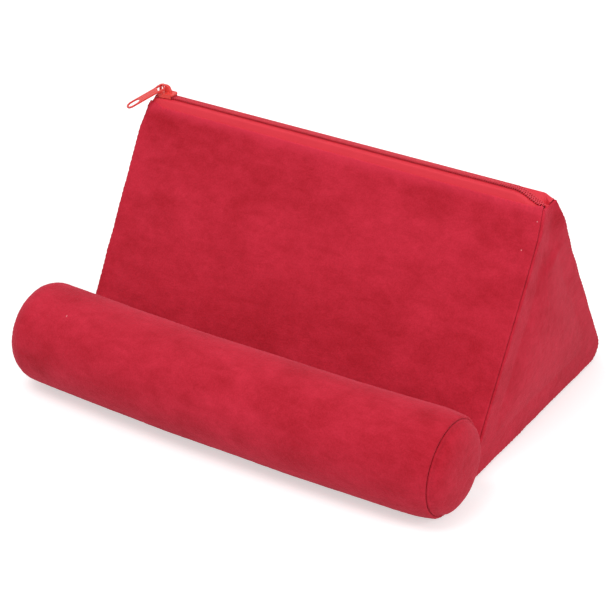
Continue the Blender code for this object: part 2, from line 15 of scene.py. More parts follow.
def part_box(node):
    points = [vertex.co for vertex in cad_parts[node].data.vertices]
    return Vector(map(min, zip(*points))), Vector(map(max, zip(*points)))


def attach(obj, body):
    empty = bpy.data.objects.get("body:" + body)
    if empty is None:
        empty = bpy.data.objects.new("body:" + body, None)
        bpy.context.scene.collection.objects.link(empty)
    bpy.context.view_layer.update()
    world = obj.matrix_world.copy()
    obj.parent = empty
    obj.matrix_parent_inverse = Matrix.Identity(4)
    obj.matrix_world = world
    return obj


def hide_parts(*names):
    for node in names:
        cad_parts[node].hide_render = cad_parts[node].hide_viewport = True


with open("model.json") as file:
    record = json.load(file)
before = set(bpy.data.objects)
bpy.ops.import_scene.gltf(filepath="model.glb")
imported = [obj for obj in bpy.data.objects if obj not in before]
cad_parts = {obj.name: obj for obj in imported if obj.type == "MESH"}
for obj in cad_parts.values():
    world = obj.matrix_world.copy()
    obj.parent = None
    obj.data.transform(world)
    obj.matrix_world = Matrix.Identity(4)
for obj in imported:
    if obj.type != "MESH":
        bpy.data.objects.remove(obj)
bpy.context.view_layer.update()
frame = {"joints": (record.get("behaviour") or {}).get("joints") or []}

# Wedge
FRONT_SLOPE = math.radians(60.5)
FRONT_EDGE_Y = -0.05009
BACK_EDGE_Y = 0.11361
RIDGE_HEIGHT = 0.1317
RIDGE_WIDTH = 0.0088
PANEL_TOP = 0.1284
FRONT_TOP_Y = FRONT_EDGE_Y + PANEL_TOP / math.tan(FRONT_SLOPE)
TOP_RADIUS = 0.0006
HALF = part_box("front_panel")[1].x + 0.0002
FRONT_RADIUS = 0.0025
BACK_RADIUS = 0.0100
FRONT_CROWN = 0.0016
BACK_CROWN = 0.0030
SIDE_CROWN = 0.0034
BOWL_REACH = 0.036

# Width of the wedge: it swells with height, is pinched in front of the ridge and fuller behind it
WIDTH_LOW = 0.9950
WIDTH_SWELL = 0.0110
LEFT_WIDTH_LOW = 1.0050
LEFT_WIDTH_SWELL = 0.0030
WIDTH_PINCH = 0.0150
WIDTH_SHOULDER = 0.0120
SWELL_HEIGHT = 0.105
PINCH_Z, PINCH_RISE = 0.112, 0.018
PINCH_Y, PINCH_FADE = 0.046, 0.020
SHOULDER_Z, SHOULDER_SPREAD = 0.116, 0.016
SHOULDER_Y, SHOULDER_FADE = 0.030, 0.012

# Soft crease high on the sides
CREASE_Z = 0.1010
CREASE_DROP = 0.010
CREASE_DROP_Y, CREASE_DROP_LENGTH = 0.050, 0.030
CREASE_STEP, CREASE_STEP_LENGTH = 0.0016, 0.012
CREASE_RIDGE, CREASE_RIDGE_SPREAD = 0.0012, 0.0026
CREASE_START_Y, CREASE_FADE = 0.016, 0.020
CREASE_INSET, CREASE_INSET_FADE = 0.002, 0.020

# Roll: its right end is a domed cap, and its left end leans in over a short arc
ROLL_RADIUS = 0.0278
ROLL_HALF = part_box("roll_sleeve")[1].x + 0.0002
ROLL_Y = -0.07439
ROLL_BOW = 0.0036
ROLL_TAPER = 0.0016
TAPER_LENGTH = 0.016
CAP_BULGE = 0.0072
LEFT_START = 0.1218
LEFT_TURN = 0.0120
LEFT_LEAN = math.radians(66)
LEFT_RUN = LEFT_START + LEFT_TURN * LEFT_LEAN
ROLL_SWELL = 0.0006
ROLL_FLAT = 0.0004
FLAT_SOFTNESS = 0.0008
FLAT_FADE = 0.002
ROLL_SIDES = 176

# Cloth: its seams, the uneven filling as size, seed and height, and the nap as size, seed and share
CLOTH = 0.0014
SEAM_RADIUS = 0.0009
FLUSH_RADIUS = 0.0006
MITRED = math.radians(135)
FLUSH = math.radians(90)
SEAM_GAP = 0.00005
TUCK = 0.0006
STITCH = 0.0030
PUCKER, PUCKER_REACH = 0.00028, 0.0021
STRAIN, STRAIN_REACH = 0.00028, 0.012
LUMPS = ((0.034, 5, 0.00030), (0.017, 6, 0.00012))
NAP_HEIGHT = 0.00014
NAP = ((0.0021, 7, 0.6), (0.0011, 8, 0.5))
STRIDE = 8
SIDE_STRIDE = 13
SHARP = math.radians(65)

# Marks in the nap: specks of lint; painted shade in darker patches, given with their radii; and a painted
# highlight along the front panel's top edge
LINT = ((0.1173, 0.0110, 0.1079), (0.1215, 0.0189, 0.1219), (-0.0985, -0.0880, 0.0521))
LINT_SIZE = 0.00038
LINT_REACH = 0.1
# Painted shade: patches where the cover's colour is darkened to stand in for shade
SHADE_PATCHES = (((-0.1128, 0.0172, 0.1210), 0.016), ((-0.1073, -0.1033, 0.0279), 0.015),
          ((0.0050, -0.0947, 0.0500), 0.010), ((0.0228, -0.1055, 0.0247), 0.009),
          ((0.1133, -0.0778, 0.0555), 0.011), ((0.1265, 0.0330, 0.1160), 0.018))
SHADE_PATCH_DEPTH = 0.34
SHADE_PATCH_FADE = 0.005
RAGGED_EDGE = 0.010
# Painted highlight along the front panel's top edge: how far it reaches, and its share
TOP_HIGHLIGHT_REACH = 0.0085
TOP_HIGHLIGHT_SHARE = 0.60

# Cloth simulation
HELD_REACH = 0.006
SKIN_SLACK = 0.0006
SKIN_FRAMES = 20
MOST_LIFT = 1.15
CLOTH_SETTINGS = {"quality": 6, "mass": 0.25, "use_pressure": True, "uniform_pressure_force": 4.0,
                  "tension_stiffness": 25.0, "compression_stiffness": 20.0, "shear_stiffness": 12.0,
                  "bending_stiffness": 1.0, "vertex_group_mass": "held"}

# Strip between roll and wedge
WEB_HALF = 0.1200
WEB_ANGLE = math.radians(-62)
WEB_INSET = 0.0012
WEB_TUCK = 0.0018
WEB_SAG = 0.0012
WEB_WAVE = 0.0006
WEB_STEPS = 17

# Filling
FOAM_INSET = 0.0045
FOAM_END_INSET = 0.0060
FOAM_TOP = 0.1190

# Zip tape, from its foot under the panel over a sill and the ridge to the bed beside the chain
TAPE = 0.0005
TAPE_Z = 0.1314
TAPE_SPLIT = 0.0020
TAPE_RIPPLE = 0.00010
FOOT_UNDER, FOOT_DOWN = 0.0011, 0.0022
SILL_UNDER, SILL_UP = 0.0008, 0.0004
BED_MARGIN = 0.0006
FRONT_YIELD, BACK_YIELD = 1.8, 0.7

# Chain: two rows of coil with their thread, and its bends at both ends of the ridge
CHAIN_WIDTH = 0.0044
COIL_HEIGHT = 0.0015
COIL_PITCH = 0.0013
COIL_WIRE = 0.00062
COIL_OVERLAP = 0.00030
COIL_END = 0.0004
COIL_STEPS = 14
THREAD = 0.00026
THREAD_PLACE = 0.0016
THREAD_HEIGHT = 0.00155
THREAD_DIP = 0.00010
THREAD_START = 0.0010
THREAD_STEPS = 6
OPEN_BY, OPEN_LENGTH = 0.0009, 0.0022
RIGHT_BEND = 0.0190
LEFT_BEND = 0.0036
CHAIN_FORWARD = 0.0033
CHAIN_END_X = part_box("front_coil")[1].x
CHAIN_END_Z = 0.1274
TAPE_END_X = CHAIN_END_X + 0.0003
FRONT_TAPE_SHORT = 0.0018
CREST_BEND = 0.0050
GULLY_LENGTH = 0.0070
GULLY_DEPTH = 0.0045
RIDGE_Y = FRONT_EDGE_Y + RIDGE_HEIGHT / math.tan(FRONT_SLOPE) + RIDGE_WIDTH / 2
RIDGE_ROUND = 0.0010

# Corners of the front panel, which rise along the slope, and the fold above the right side
CORNER_START, CORNER_LENGTH = 0.1120, 0.007
CORNER_RISE = 0.0022
RIGHT_CORNER_START, RIGHT_CORNER_LENGTH = 0.1165, 0.005
RIGHT_CORNER_RISE = 0.0012
CORNER_DEPTH = 0.016
CORNER_FOLD = 0.0013
CORNER_FOLD_Y, CORNER_FOLD_SPREAD = 0.0365, 0.0075
CORNER_FOLD_Z, CORNER_FOLD_LENGTH = 0.118, 0.010

# Slider, from its own middle: x along the chain, y across it, z up from the tape
SLIDER_LEFT_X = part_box("zip_slider")[0].x
SLIDER_MIDDLE_X = SLIDER_LEFT_X + 0.0054
CLOSED_X = SLIDER_LEFT_X + 0.0050
WIDE_HALF, NARROW_HALF = 0.0038, 0.0032
SLIDER_SIDE = ((-0.0053, 0.0013), (-0.0049, 0.0028), (-0.0040, WIDE_HALF), (-0.0014, WIDE_HALF),
               (0.0002, NARROW_HALF), (0.0040, NARROW_HALF), (0.0050, 0.0020))
PLATE = 0.0009
PLATE_Z = COIL_HEIGHT + 0.0008
UNDER_PLATE_Z = -0.0015
DIAMOND = ((-0.0050, 0.0), (-0.0040, -0.0007), (-0.0016, -0.0002), (-0.0016, 0.0002), (-0.0040, 0.0007))
DIAMOND_Z = (-0.0010, PLATE_Z + 0.0003)
LIP = 0.0005
LIP_Z = (0.0006, PLATE_Z + 0.0004)
BRIDGE_FOOT = PLATE_Z + PLATE - 0.0003
BRIDGE_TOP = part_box("zip_slider")[1].z - TAPE_Z
BRIDGE_ROOF = BRIDGE_TOP - 0.0006
BRIDGE_HALF = 0.0009
SLIDER_VOXEL = 0.00013

# Pull tab
TAB_DROP = math.radians(27)
TAB_LENGTH = 0.0234
TAB_WIDTH = 0.0068
TAB_HEAD = 0.0084
TAB_THICK = 0.0009
TAB_VOXEL = 0.00014
EYE = ((0.00045, -0.0029), (0.00365, -0.0025), (0.00365, 0.0025), (0.00045, 0.0029))
SLOT_LENGTH = 0.0072
SLOT_WIDTH = 0.0048

# Camera, from a fit to the photograph
CAMERA_PLACE = Vector((0.52217, -0.83650, 0.59780))
CAMERA_RIGHT = Vector((0.84577, 0.53355, 0.00176))
CAMERA_UP = Vector((-0.26198, 0.41242, 0.87251))
CAMERA_LENS = 122.46
SENSOR = 36.0

# Lamps as place, aim, width and power, and the plain surroundings
LAMPS = {"key": ((-0.30, -1.00, 2.3), (0, 0, 0.05), 1.2, 22.5),
         "side": ((1.8, -0.2, 1.1), (0, 0, 0.06), 1.2, 10.5)}
WORLD_LIGHT = 0.60
FLOOR_TONE = 0.74
FLOOR_GLOW = 0.52
FLOOR_REACH = 12.0
FLOOR_DROP = 0.0002


def smooth(value):
    """0 below 0, 1 above 1, and a soft step between them."""
    value = np.clip(value, 0.0, 1.0)
    return value * value * (3 - 2 * value)


def lattice(ix, iy, iz, seed):
    """A repeatable number from -1 to 1 for each whole-numbered place."""
    mixed = (ix * 73856093) ^ (iy * 19349663) ^ (iz * 83492791) ^ (seed * 2654435761)
    mixed = (mixed ^ (mixed >> 13)) * 1274126177
    mixed = (mixed ^ (mixed >> 16)) & 0x7FFFFFFF
    return mixed / 0x3FFFFFFF - 1


def noise(points, size, seed):
    """Smooth noise from -1 to 1 over points, with lumps of the given size."""
    scaled = np.asarray(points, float) / size + 0.37 * seed
    whole = np.floor(scaled).astype(np.int64)
    share = scaled - whole
    share = share * share * (3 - 2 * share)
    total = 0.0
    for dx in (0, 1):
        for dy in (0, 1):
            for dz in (0, 1):
                weight = np.where(dx, share[..., 0], 1 - share[..., 0])
                weight = weight * np.where(dy, share[..., 1], 1 - share[..., 1])
                weight = weight * np.where(dz, share[..., 2], 1 - share[..., 2])
                corner = lattice(whole[..., 0] + dx, whole[..., 1] + dy, whole[..., 2] + dz, seed)
                total = total + weight * corner
    return total


# Node materials

def new_material(name, levels):
    """A material, its node tree, and its shader with the constant levels set on its sockets."""
    made = bpy.data.materials.new(name)
    made.use_nodes = True
    shader = made.node_tree.nodes["Principled BSDF"]
    for key, value in levels.items():
        shader.inputs[key].default_value = value
    return made, made.node_tree, shader


def add_node(tree, kind, settings=None, values=None, links=None):
    """A shader node with its settings, its socket values and its incoming links."""
    made = tree.nodes.new(kind)
    for key, value in (settings or {}).items():
        setattr(made, key, value)
    for key, value in (values or {}).items():
        made.inputs[key].default_value = value
    for key, source in (links or {}).items():
        tree.links.new(source, made.inputs[key])
    return made


def math_node(tree, operation, first, second):
    """A math node over two values, each a number or a socket."""
    made = add_node(tree, "ShaderNodeMath", {"operation": operation})
    for socket, value in zip(made.inputs, (first, second)):
        if isinstance(value, (int, float)):
            socket.default_value = value
        else:
            tree.links.new(value, socket)
    return made.outputs[0]


def noise_node(tree, place, scale, detail, roughness=0.5, distortion=0.0):
    made = add_node(tree, "ShaderNodeTexNoise",
                    values={"Scale": scale, "Detail": detail, "Roughness": roughness,
                            "Distortion": distortion},
                    links={"Vector": place})
    return made.outputs["Fac"]


def ramp_node(tree, source, low, high):
    """Source spread so that low becomes 0 and high becomes 1, with soft ends."""
    made = add_node(tree, "ShaderNodeMapRange", {"interpolation_type": "SMOOTHSTEP"},
                    {"From Min": low, "From Max": high}, {"Value": source})
    return made.outputs["Result"]


def object_place(tree):
    return add_node(tree, "ShaderNodeTexCoord").outputs["Object"]


def distance_node(tree, place, centre):
    return add_node(tree, "ShaderNodeVectorMath", {"operation": "DISTANCE"}, {1: centre},
                    {"Vector": place}).outputs["Value"]


def weighted_sum(tree, parts):
    """The sum of the sources, each times its weight."""
    total = math_node(tree, "MULTIPLY", *parts[0])
    for source, weight in parts[1:]:
        total = math_node(tree, "ADD", total, math_node(tree, "MULTIPLY", source, weight))
    return total


def vary_colour(tree, shader, source, dark, light):
    tree.links.new(mix_colours(tree, source, dark, light), shader.inputs["Base Color"])


def vary_roughness(tree, shader, source, low, high):
    made = add_node(tree, "ShaderNodeMapRange", values={"To Min": low, "To Max": high},
                    links={"Value": source})
    tree.links.new(made.outputs["Result"], shader.inputs["Roughness"])


def bump_surface(tree, shader, height, strength, distance):
    made = add_node(tree, "ShaderNodeBump", values={"Strength": strength, "Distance": distance},
                    links={"Height": height})
    tree.links.new(made.outputs[0], shader.inputs["Normal"])


def seen_share(tree):
    """1 where the camera, a reflection or glass looks at the surface, and 0 where it sends light."""
    rays = add_node(tree, "ShaderNodeLightPath").outputs
    seen = math_node(tree, "MAXIMUM", rays["Is Camera Ray"], rays["Is Glossy Ray"])
    return math_node(tree, "MAXIMUM", seen, rays["Is Transmission Ray"])


def mix_colours(tree, share, first, second):
    """A mix of two colours, each given as numbers or as a socket."""
    made = add_node(tree, "ShaderNodeMix", {"data_type": "RGBA"}, links={"Factor": share})
    sockets = [s for s in made.inputs if s.type == "RGBA"]
    for socket, value in zip(sockets, (first, second)):
        if isinstance(value, tuple):
            socket.default_value = (*value, 1.0)
        else:
            tree.links.new(value, socket)
    return [s for s in made.outputs if s.type == "RGBA"][0]


def plush_material():
    """Short plush pile, stroked each way: clouds where the nap leans each way, strokes and a fine speckle;
    painted shade in patches; a painted highlight along the front panel's top edge; and specks of lint.
    """
    made, tree, shader = new_material("red_plush", {"Specular IOR Level": 0.15, "Sheen Weight": 0.42,
                                                    "Sheen Roughness": 0.45,
                                                    "Sheen Tint": (1.0, 0.22, 0.30, 1.0)})
    place = object_place(tree)
    leaning = {"Rotation": (0.5, 0.3, 0.6), "Scale": (1.0, 2.6, 2.0)}
    stretched = add_node(tree, "ShaderNodeMapping", values=leaning, links={"Vector": place}).outputs[0]
    clouds = ramp_node(tree, noise_node(tree, place, 26.0, 2.0, 0.50, 0.4), 0.30, 0.70)
    strokes = ramp_node(tree, noise_node(tree, stretched, 62.0, 4.0, 0.55, 0.6), 0.28, 0.74)
    marks = ramp_node(tree, noise_node(tree, place, 230.0, 4.0, 0.65, 0.3), 0.32, 0.68)
    speckle = ramp_node(tree, noise_node(tree, place, 1300.0, 3.0, 0.7), 0.36, 0.64)
    tone = weighted_sum(tree, [(clouds, 0.34), (strokes, 0.28), (marks, 0.16), (speckle, 0.22)])
    ragged = math_node(tree, "MULTIPLY", noise_node(tree, place, 110.0, 3.0), RAGGED_EDGE)
    # Painted shade: the tone is darkened inside each patch
    for centre, radius in SHADE_PATCHES:
        away = math_node(tree, "ADD", distance_node(tree, place, centre), ragged)
        share = ramp_node(tree, away, radius + SHADE_PATCH_FADE, SHADE_PATCH_FADE)
        tone = math_node(tree, "SUBTRACT", tone, math_node(tree, "MULTIPLY", share, SHADE_PATCH_DEPTH))
    tone = math_node(tree, "MAXIMUM", tone, 0.0)
    colour = mix_colours(tree, tone, (0.415, 0.0090, 0.0200), (0.660, 0.0260, 0.0560))
    # Painted highlight: the colour is lightened in a band along the front panel's top edge
    along = add_node(tree, "ShaderNodeMapping", values={"Scale": (0.0, 1.0, 1.0)}, links={"Vector": place})
    away = math_node(tree, "ADD", distance_node(tree, along.outputs[0], (0.0, FRONT_TOP_Y, PANEL_TOP)),
                     math_node(tree, "MULTIPLY", ragged, 0.25))
    top_highlight = math_node(tree, "MULTIPLY", ramp_node(tree, away, TOP_HIGHLIGHT_REACH, 0.0), TOP_HIGHLIGHT_SHARE)
    colour = mix_colours(tree, top_highlight, colour, (0.80, 0.045, 0.088))
    flat = add_node(tree, "ShaderNodeMapping", values={"Scale": (1.0, LINT_REACH, 1.0)},
                    links={"Vector": place})
    for x, y, z in LINT:
        away = distance_node(tree, flat.outputs[0], (x, LINT_REACH * y, z))
        lint = ramp_node(tree, away, LINT_SIZE, LINT_SIZE / 2)
        colour = mix_colours(tree, lint, colour, (0.80, 0.27, 0.30))
    tree.links.new(colour, shader.inputs["Base Color"])
    vary_roughness(tree, shader, tone, 0.95, 0.80)
    pile = noise_node(tree, place, 2300.0, 3.0, 0.65)
    tufts = noise_node(tree, place, 700.0, 3.0, 0.6)
    height = math_node(tree, "ADD", math_node(tree, "MULTIPLY", pile, 0.5), tufts)
    bump_surface(tree, shader, height, 0.80, 0.00040)
    return made


def woven_material():
    """Smooth zip tape in a fine herringbone weave, which reads its UV in metres."""
    made, tree, shader = new_material("red_woven_tape", {"Roughness": 0.62, "Specular IOR Level": 0.35,
                                                         "Sheen Weight": 0.20, "Sheen Roughness": 0.35,
                                                         "Sheen Tint": (1.0, 0.55, 0.60, 1.0)})
    place = add_node(tree, "ShaderNodeUVMap", {"uv_map": "weave"}).outputs[0]
    split = add_node(tree, "ShaderNodeSeparateXYZ", links={"Vector": place})
    along, across = split.outputs[0], split.outputs[1]
    zig = math_node(tree, "PINGPONG", across, 0.0022)
    slanted = math_node(tree, "ADD", along, zig)
    warp = math_node(tree, "SINE", math_node(tree, "MULTIPLY", slanted, 13000.0), 0)
    weft = math_node(tree, "SINE", math_node(tree, "MULTIPLY", across, 16000.0), 0)
    weave = math_node(tree, "MULTIPLY", math_node(tree, "ADD", warp, weft), 0.25)
    weave = math_node(tree, "ADD", weave, 0.5)
    clouds = noise_node(tree, object_place(tree), 90.0, 3.0)
    tone = weighted_sum(tree, [(weave, 0.5), (clouds, 0.5)])
    vary_colour(tree, shader, tone, (0.66, 0.021, 0.039), (0.82, 0.038, 0.064))
    bump_surface(tree, shader, weave, 0.35, 0.00012)
    return made


def coil_material():
    """Dyed polyester wire: satin, a little uneven in its dye."""
    made, tree, shader = new_material("red_coil", {"Specular IOR Level": 0.4})
    tone = noise_node(tree, object_place(tree), 420.0, 3.0)
    vary_colour(tree, shader, tone, (0.66, 0.031, 0.056), (0.84, 0.056, 0.088))
    vary_roughness(tree, shader, tone, 0.36, 0.52)
    return made


def thread_material():
    """Dyed sewing thread, a little softer and duller than the coil."""
    made, tree, shader = new_material("red_thread", {"Roughness": 0.7, "Sheen Weight": 0.15,
                                                     "Sheen Tint": (1.0, 0.5, 0.55, 1.0)})
    tone = noise_node(tree, object_place(tree), 900.0, 2.0)
    vary_colour(tree, shader, tone, (0.64, 0.028, 0.050), (0.80, 0.050, 0.078))
    return made


def enamel_material():
    """Sprayed enamel on cast zinc, a little uneven in tone and gloss, with faint orange peel."""
    made, tree, shader = new_material("red_enamel", {"Specular IOR Level": 0.35, "Coat Weight": 0.08,
                                                     "Coat Roughness": 0.22})
    place = object_place(tree)
    clouds = noise_node(tree, place, 260.0, 3.0)
    vary_colour(tree, shader, clouds, (0.72, 0.040, 0.034), (0.88, 0.068, 0.056))
    vary_roughness(tree, shader, noise_node(tree, place, 700.0, 3.0), 0.34, 0.50)
    bump_surface(tree, shader, noise_node(tree, place, 1800.0, 2.0), 0.12, 0.00008)
    return made


def foam_material():
    """Pale open-celled foam, inside the covers."""
    made, tree, shader = new_material("pale_foam", {"Roughness": 0.95})
    cells = add_node(tree, "ShaderNodeTexVoronoi", values={"Scale": 900.0},
                     links={"Vector": object_place(tree)}).outputs["Distance"]
    vary_colour(tree, shader, cells, (0.62, 0.56, 0.42), (0.88, 0.83, 0.70))
    bump_surface(tree, shader, cells, 0.6, 0.0004)
    return made


# Meshes

def place_object(name, data):
    made = bpy.data.objects.new(name, data)
    bpy.context.scene.collection.objects.link(made)
    return made


def raw_object(name, points, faces):
    """A new mesh object that has no material yet."""
    mesh = bpy.data.meshes.new(name)
    mesh.from_pydata([tuple(point) for point in points], [], faces)
    return place_object(name, mesh)


def shaped_mesh(piece):
    """A new mesh with the piece's modifiers applied."""
    graph = bpy.context.evaluated_depsgraph_get()
    return bpy.data.meshes.new_from_object(piece.evaluated_get(graph))


def remesh(piece, voxel):
    made = piece.modifiers.new("remesh", "REMESH")
    made.mode = "VOXEL"
    made.voxel_size = voxel


def stacked_faces(rows, count):
    """Faces of a closed body through rows of count points each, with flat ends."""
    faces = []
    for row in range(rows - 1):
        low, high = row * count, (row + 1) * count
        for k in range(count):
            ahead = (k + 1) % count
            faces.append([low + k, low + ahead, high + ahead, high + k])
    last = (rows - 1) * count
    return faces + [list(range(count))[::-1], list(range(last, last + count))]


def spread(x, yz):
    """A grid of points from places in x and (y, z) pairs, each spread over the other."""
    x = np.asarray(x, float)[..., None]
    shape = np.broadcast_shapes(x.shape[:-1], yz.shape[:-1])
    return np.concatenate([np.broadcast_to(x, (*shape, 1)), np.broadcast_to(yz, (*shape, 2))], axis=-1)


def circle(count):
    """Angles round a circle, and the (y, z) direction of each."""
    angles = np.linspace(0, 2 * math.pi, count, endpoint=False)
    return angles, np.stack([np.cos(angles), np.sin(angles)], -1)


class Sheet:
    """Collects points and faces of one piece of cloth and makes it a closed mesh."""

    def __init__(self):
        self.points = []
        self.faces = []
        self.count = 0

    def add_points(self, points):
        points = np.asarray(points, float)
        numbers = np.arange(self.count, self.count + points[..., 0].size).reshape(points.shape[:-1])
        self.points.append(points.reshape(-1, 3))
        self.count += points[..., 0].size
        return numbers

    def add_grid(self, points, wrap):
        """Quads over a grid of points; wrap joins its last column to its first."""
        numbers = self.add_points(points)
        joined = np.concatenate([numbers, numbers[:, :1]], axis=1) if wrap else numbers
        quads = np.stack([joined[:-1, :-1], joined[:-1, 1:], joined[1:, 1:], joined[1:, :-1]], -1)
        self.faces += quads.reshape(-1, 4).tolist()
        return numbers

    def add_rim(self, fine, coarse):
        """Faces between a fine closed loop and a coarse one with a point for each STRIDE."""
        count = len(fine)
        for i, here in enumerate(coarse):
            ahead = coarse[(i + 1) % len(coarse)]
            for k in range(STRIDE):
                a = fine[i * STRIDE + k]
                b = fine[(i * STRIDE + k + 1) % count]
                self.faces.append([a, b, here if k < STRIDE // 2 else ahead])
            middle = fine[i * STRIDE + STRIDE // 2]
            self.faces.append([here, middle, ahead])

    def add_pole(self, loop, point):
        pole = self.add_points([point])[0]
        for a, b in zip(loop, np.roll(loop, -1)):
            self.faces.append([a, b, pole])

    def add_ends(self, numbers):
        """Flat faces over the first and the last loop of a tube."""
        self.faces += [numbers[0].tolist(), numbers[-1].tolist()]

    def make(self, name, finish):
        mesh = bpy.data.meshes.new(name)
        mesh.from_pydata(np.concatenate(self.points).tolist(), [], self.faces)
        shape = bmesh.new()
        shape.from_mesh(mesh)
        bmesh.ops.recalc_face_normals(shape, faces=shape.faces)
        shape.to_mesh(mesh)
        shape.free()
        return link_mesh(name, mesh, finish)


def link_mesh(name, mesh, finish):
    """A visible piece in its finish, shaded smooth up to its sharp edges."""
    made = place_object(name, mesh)
    mesh.materials.append(finish)
    mesh.shade_smooth()
    mesh.set_sharp_from_angle(angle=SHARP)
    return made


def border(numbers):
    """The outer loop of a grid of point numbers."""
    return np.concatenate([numbers[0, :-1], numbers[:-1, -1], numbers[-1, :0:-1], numbers[:0:-1, 0]])


def edge_table(radius, sweep):
    """Offset from the seam and depth below the face, from the tucked edge up to the face."""
    start = radius * (1 + math.sqrt(2)) if sweep > math.pi / 2 else radius
    foot = Vector((start - radius * math.sin(sweep), radius * (1 - math.cos(sweep))))
    inward = Vector((-math.cos(sweep), math.sin(sweep)))
    rows = [foot + inward * TUCK, foot + inward * TUCK / 2]
    for turn in sweep * (1 - np.linspace(0, 1, 11)):
        rows.append(Vector((start - radius * math.sin(turn), radius * (1 - math.cos(turn)))))
    return np.array([[row.x + SEAM_GAP, row.y] for row in rows])


def face_share(depths):
    """1 on the face of a sheet, falling to 0 as its edge turns in."""
    return smooth(1.2 - depths / SEAM_RADIUS)


def graded(first, last, cells, crowding=0.55):
    """Places from first to last that crowd together at both ends."""
    t = np.linspace(0, 1, cells + 1)
    return first + (last - first) * (t - crowding * np.sin(2 * math.pi * t) / (2 * math.pi))


def run_across(length, first_edge, last_edge, cells):
    """Places and depths across a sheet between two turned edges."""
    inner = graded(first_edge[-1, 0], length - last_edge[-1, 0], cells)
    places = np.concatenate([first_edge[:-1, 0], inner, length - last_edge[-2::-1, 0]])
    depths = np.concatenate([first_edge[:-1, 1], np.zeros(len(inner)), last_edge[-2::-1, 1]])
    return places, depths


class Profile:
    """The wedge's outline in the YZ plane, read by the distance along it."""

    ARC_STEPS = 24

    def __init__(self):
        run = RIDGE_HEIGHT / math.tan(FRONT_SLOPE)
        self.back_angle = math.atan2(RIDGE_HEIGHT, BACK_EDGE_Y - FRONT_EDGE_Y - run - RIDGE_WIDTH)
        back_top_y = BACK_EDGE_Y - PANEL_TOP / math.tan(self.back_angle)
        corners = [(FRONT_EDGE_Y, 0.0), (BACK_EDGE_Y, 0.0), (back_top_y, PANEL_TOP), (FRONT_TOP_Y, PANEL_TOP)]
        radii = [FRONT_RADIUS, BACK_RADIUS, TOP_RADIUS, TOP_RADIUS]
        points, self.arcs = [], []
        for i, corner in enumerate(corners):
            here = Vector(corner)
            before = (Vector(corners[i - 1]) - here).normalized()
            after = (Vector(corners[(i + 1) % 4]) - here).normalized()
            half_angle = before.angle(after) / 2
            centre = here + (before + after).normalized() * radii[i] / math.sin(half_angle)
            start = here + before * radii[i] / math.tan(half_angle) - centre
            first = len(points)
            for k in range(self.ARC_STEPS + 1):
                angle = (math.pi - 2 * half_angle) * k / self.ARC_STEPS
                cos, sin = math.cos(angle), math.sin(angle)
                turned = Vector((start.x * cos - start.y * sin, start.x * sin + start.y * cos))
                points.append(centre + turned)
            self.arcs.append((first, len(points) - 1))
        self.points = np.array([[p.x, p.y] for p in points] + [[points[0].x, points[0].y]])
        steps = np.hypot(*np.diff(self.points, axis=0).T)
        self.at = np.concatenate([[0.0], np.cumsum(steps)])
        self.total = self.at[-1]

    def arc(self, corner, share):
        first, last = self.arcs[corner]
        return self.at[first] * (1 - share) + self.at[last] * share

    def read(self, distance):
        """Points (y, z) and outward normals at the given distances."""
        def place(d):
            d = np.mod(d, self.total)
            return np.stack([np.interp(d, self.at, self.points[:, 0]),
                             np.interp(d, self.at, self.points[:, 1])], -1)
        here = place(distance)
        along = place(distance + 2e-4) - place(distance - 2e-4)
        along /= np.linalg.norm(along, axis=-1, keepdims=True)
        return here, np.stack([along[..., 1], -along[..., 0]], -1)


# Cloth simulation

class Swell:
    """How far a stuffed skin moves when its filling presses on it, at any place on it."""

    NEIGHBOURS = 18

    def __init__(self, rest, moves, reach):
        self.tree = KDTree(len(rest))
        for i, point in enumerate(rest):
            self.tree.insert(point, i)
        self.tree.balance()
        self.moves = moves
        self.reach = 1.5 * reach

    def at(self, points):
        flat = points.reshape(-1, 3)
        result = np.zeros_like(flat)
        for k, point in enumerate(flat):
            found = self.tree.find_n(point, self.NEIGHBOURS)
            weights = np.array([math.exp(-(d / self.reach) ** 2) + 1e-9 for _, _, d in found])
            result[k] = weights @ self.moves[[i for _, i, _ in found]] / weights.sum()
        return result.reshape(points.shape)


def simulate_skin(name, points, faces, held_near, voxel, cap):
    """A closed skin, remeshed and pressed outwards from inside while its seams are held.

    No point of it moves further than the cap.
    """
    skin = raw_object(name, points, faces)
    remesh(skin, voxel)
    even = shaped_mesh(skin)
    skin.modifiers.clear()
    skin.data = even
    rest = np.array([v.co for v in even.vertices])
    normals = np.array([v.normal for v in even.vertices])
    held = held_near(rest)
    shrunk = rest - normals * SKIN_SLACK * (1 - held[:, None])
    even.vertices.foreach_set("co", shrunk.ravel())
    group = skin.vertex_groups.new(name="held")
    for i, weight in enumerate(held):
        if weight > 0.01:
            group.add([i], float(weight), "REPLACE")
    cloth = skin.modifiers.new("cloth", "CLOTH")
    for key, value in CLOTH_SETTINGS.items():
        setattr(cloth.settings, key, value)
    cloth.settings.effector_weights.gravity = 0.0
    cloth.point_cache.frame_start = 1
    cloth.point_cache.frame_end = SKIN_FRAMES
    scene = bpy.context.scene
    for step in range(1, SKIN_FRAMES + 1):
        scene.frame_set(step)
    graph = bpy.context.evaluated_depsgraph_get()
    done = skin.evaluated_get(graph)
    moved = np.array([v.co for v in done.data.vertices])
    scene.frame_set(1)
    bpy.data.objects.remove(skin)
    moves = moved - rest
    length = np.linalg.norm(moves, axis=1, keepdims=True)
    moves *= np.minimum(1.0, cap / np.maximum(length, 1e-9))
    return Swell(rest, moves, voxel)


# Wedge covers

PROFILE = Profile()


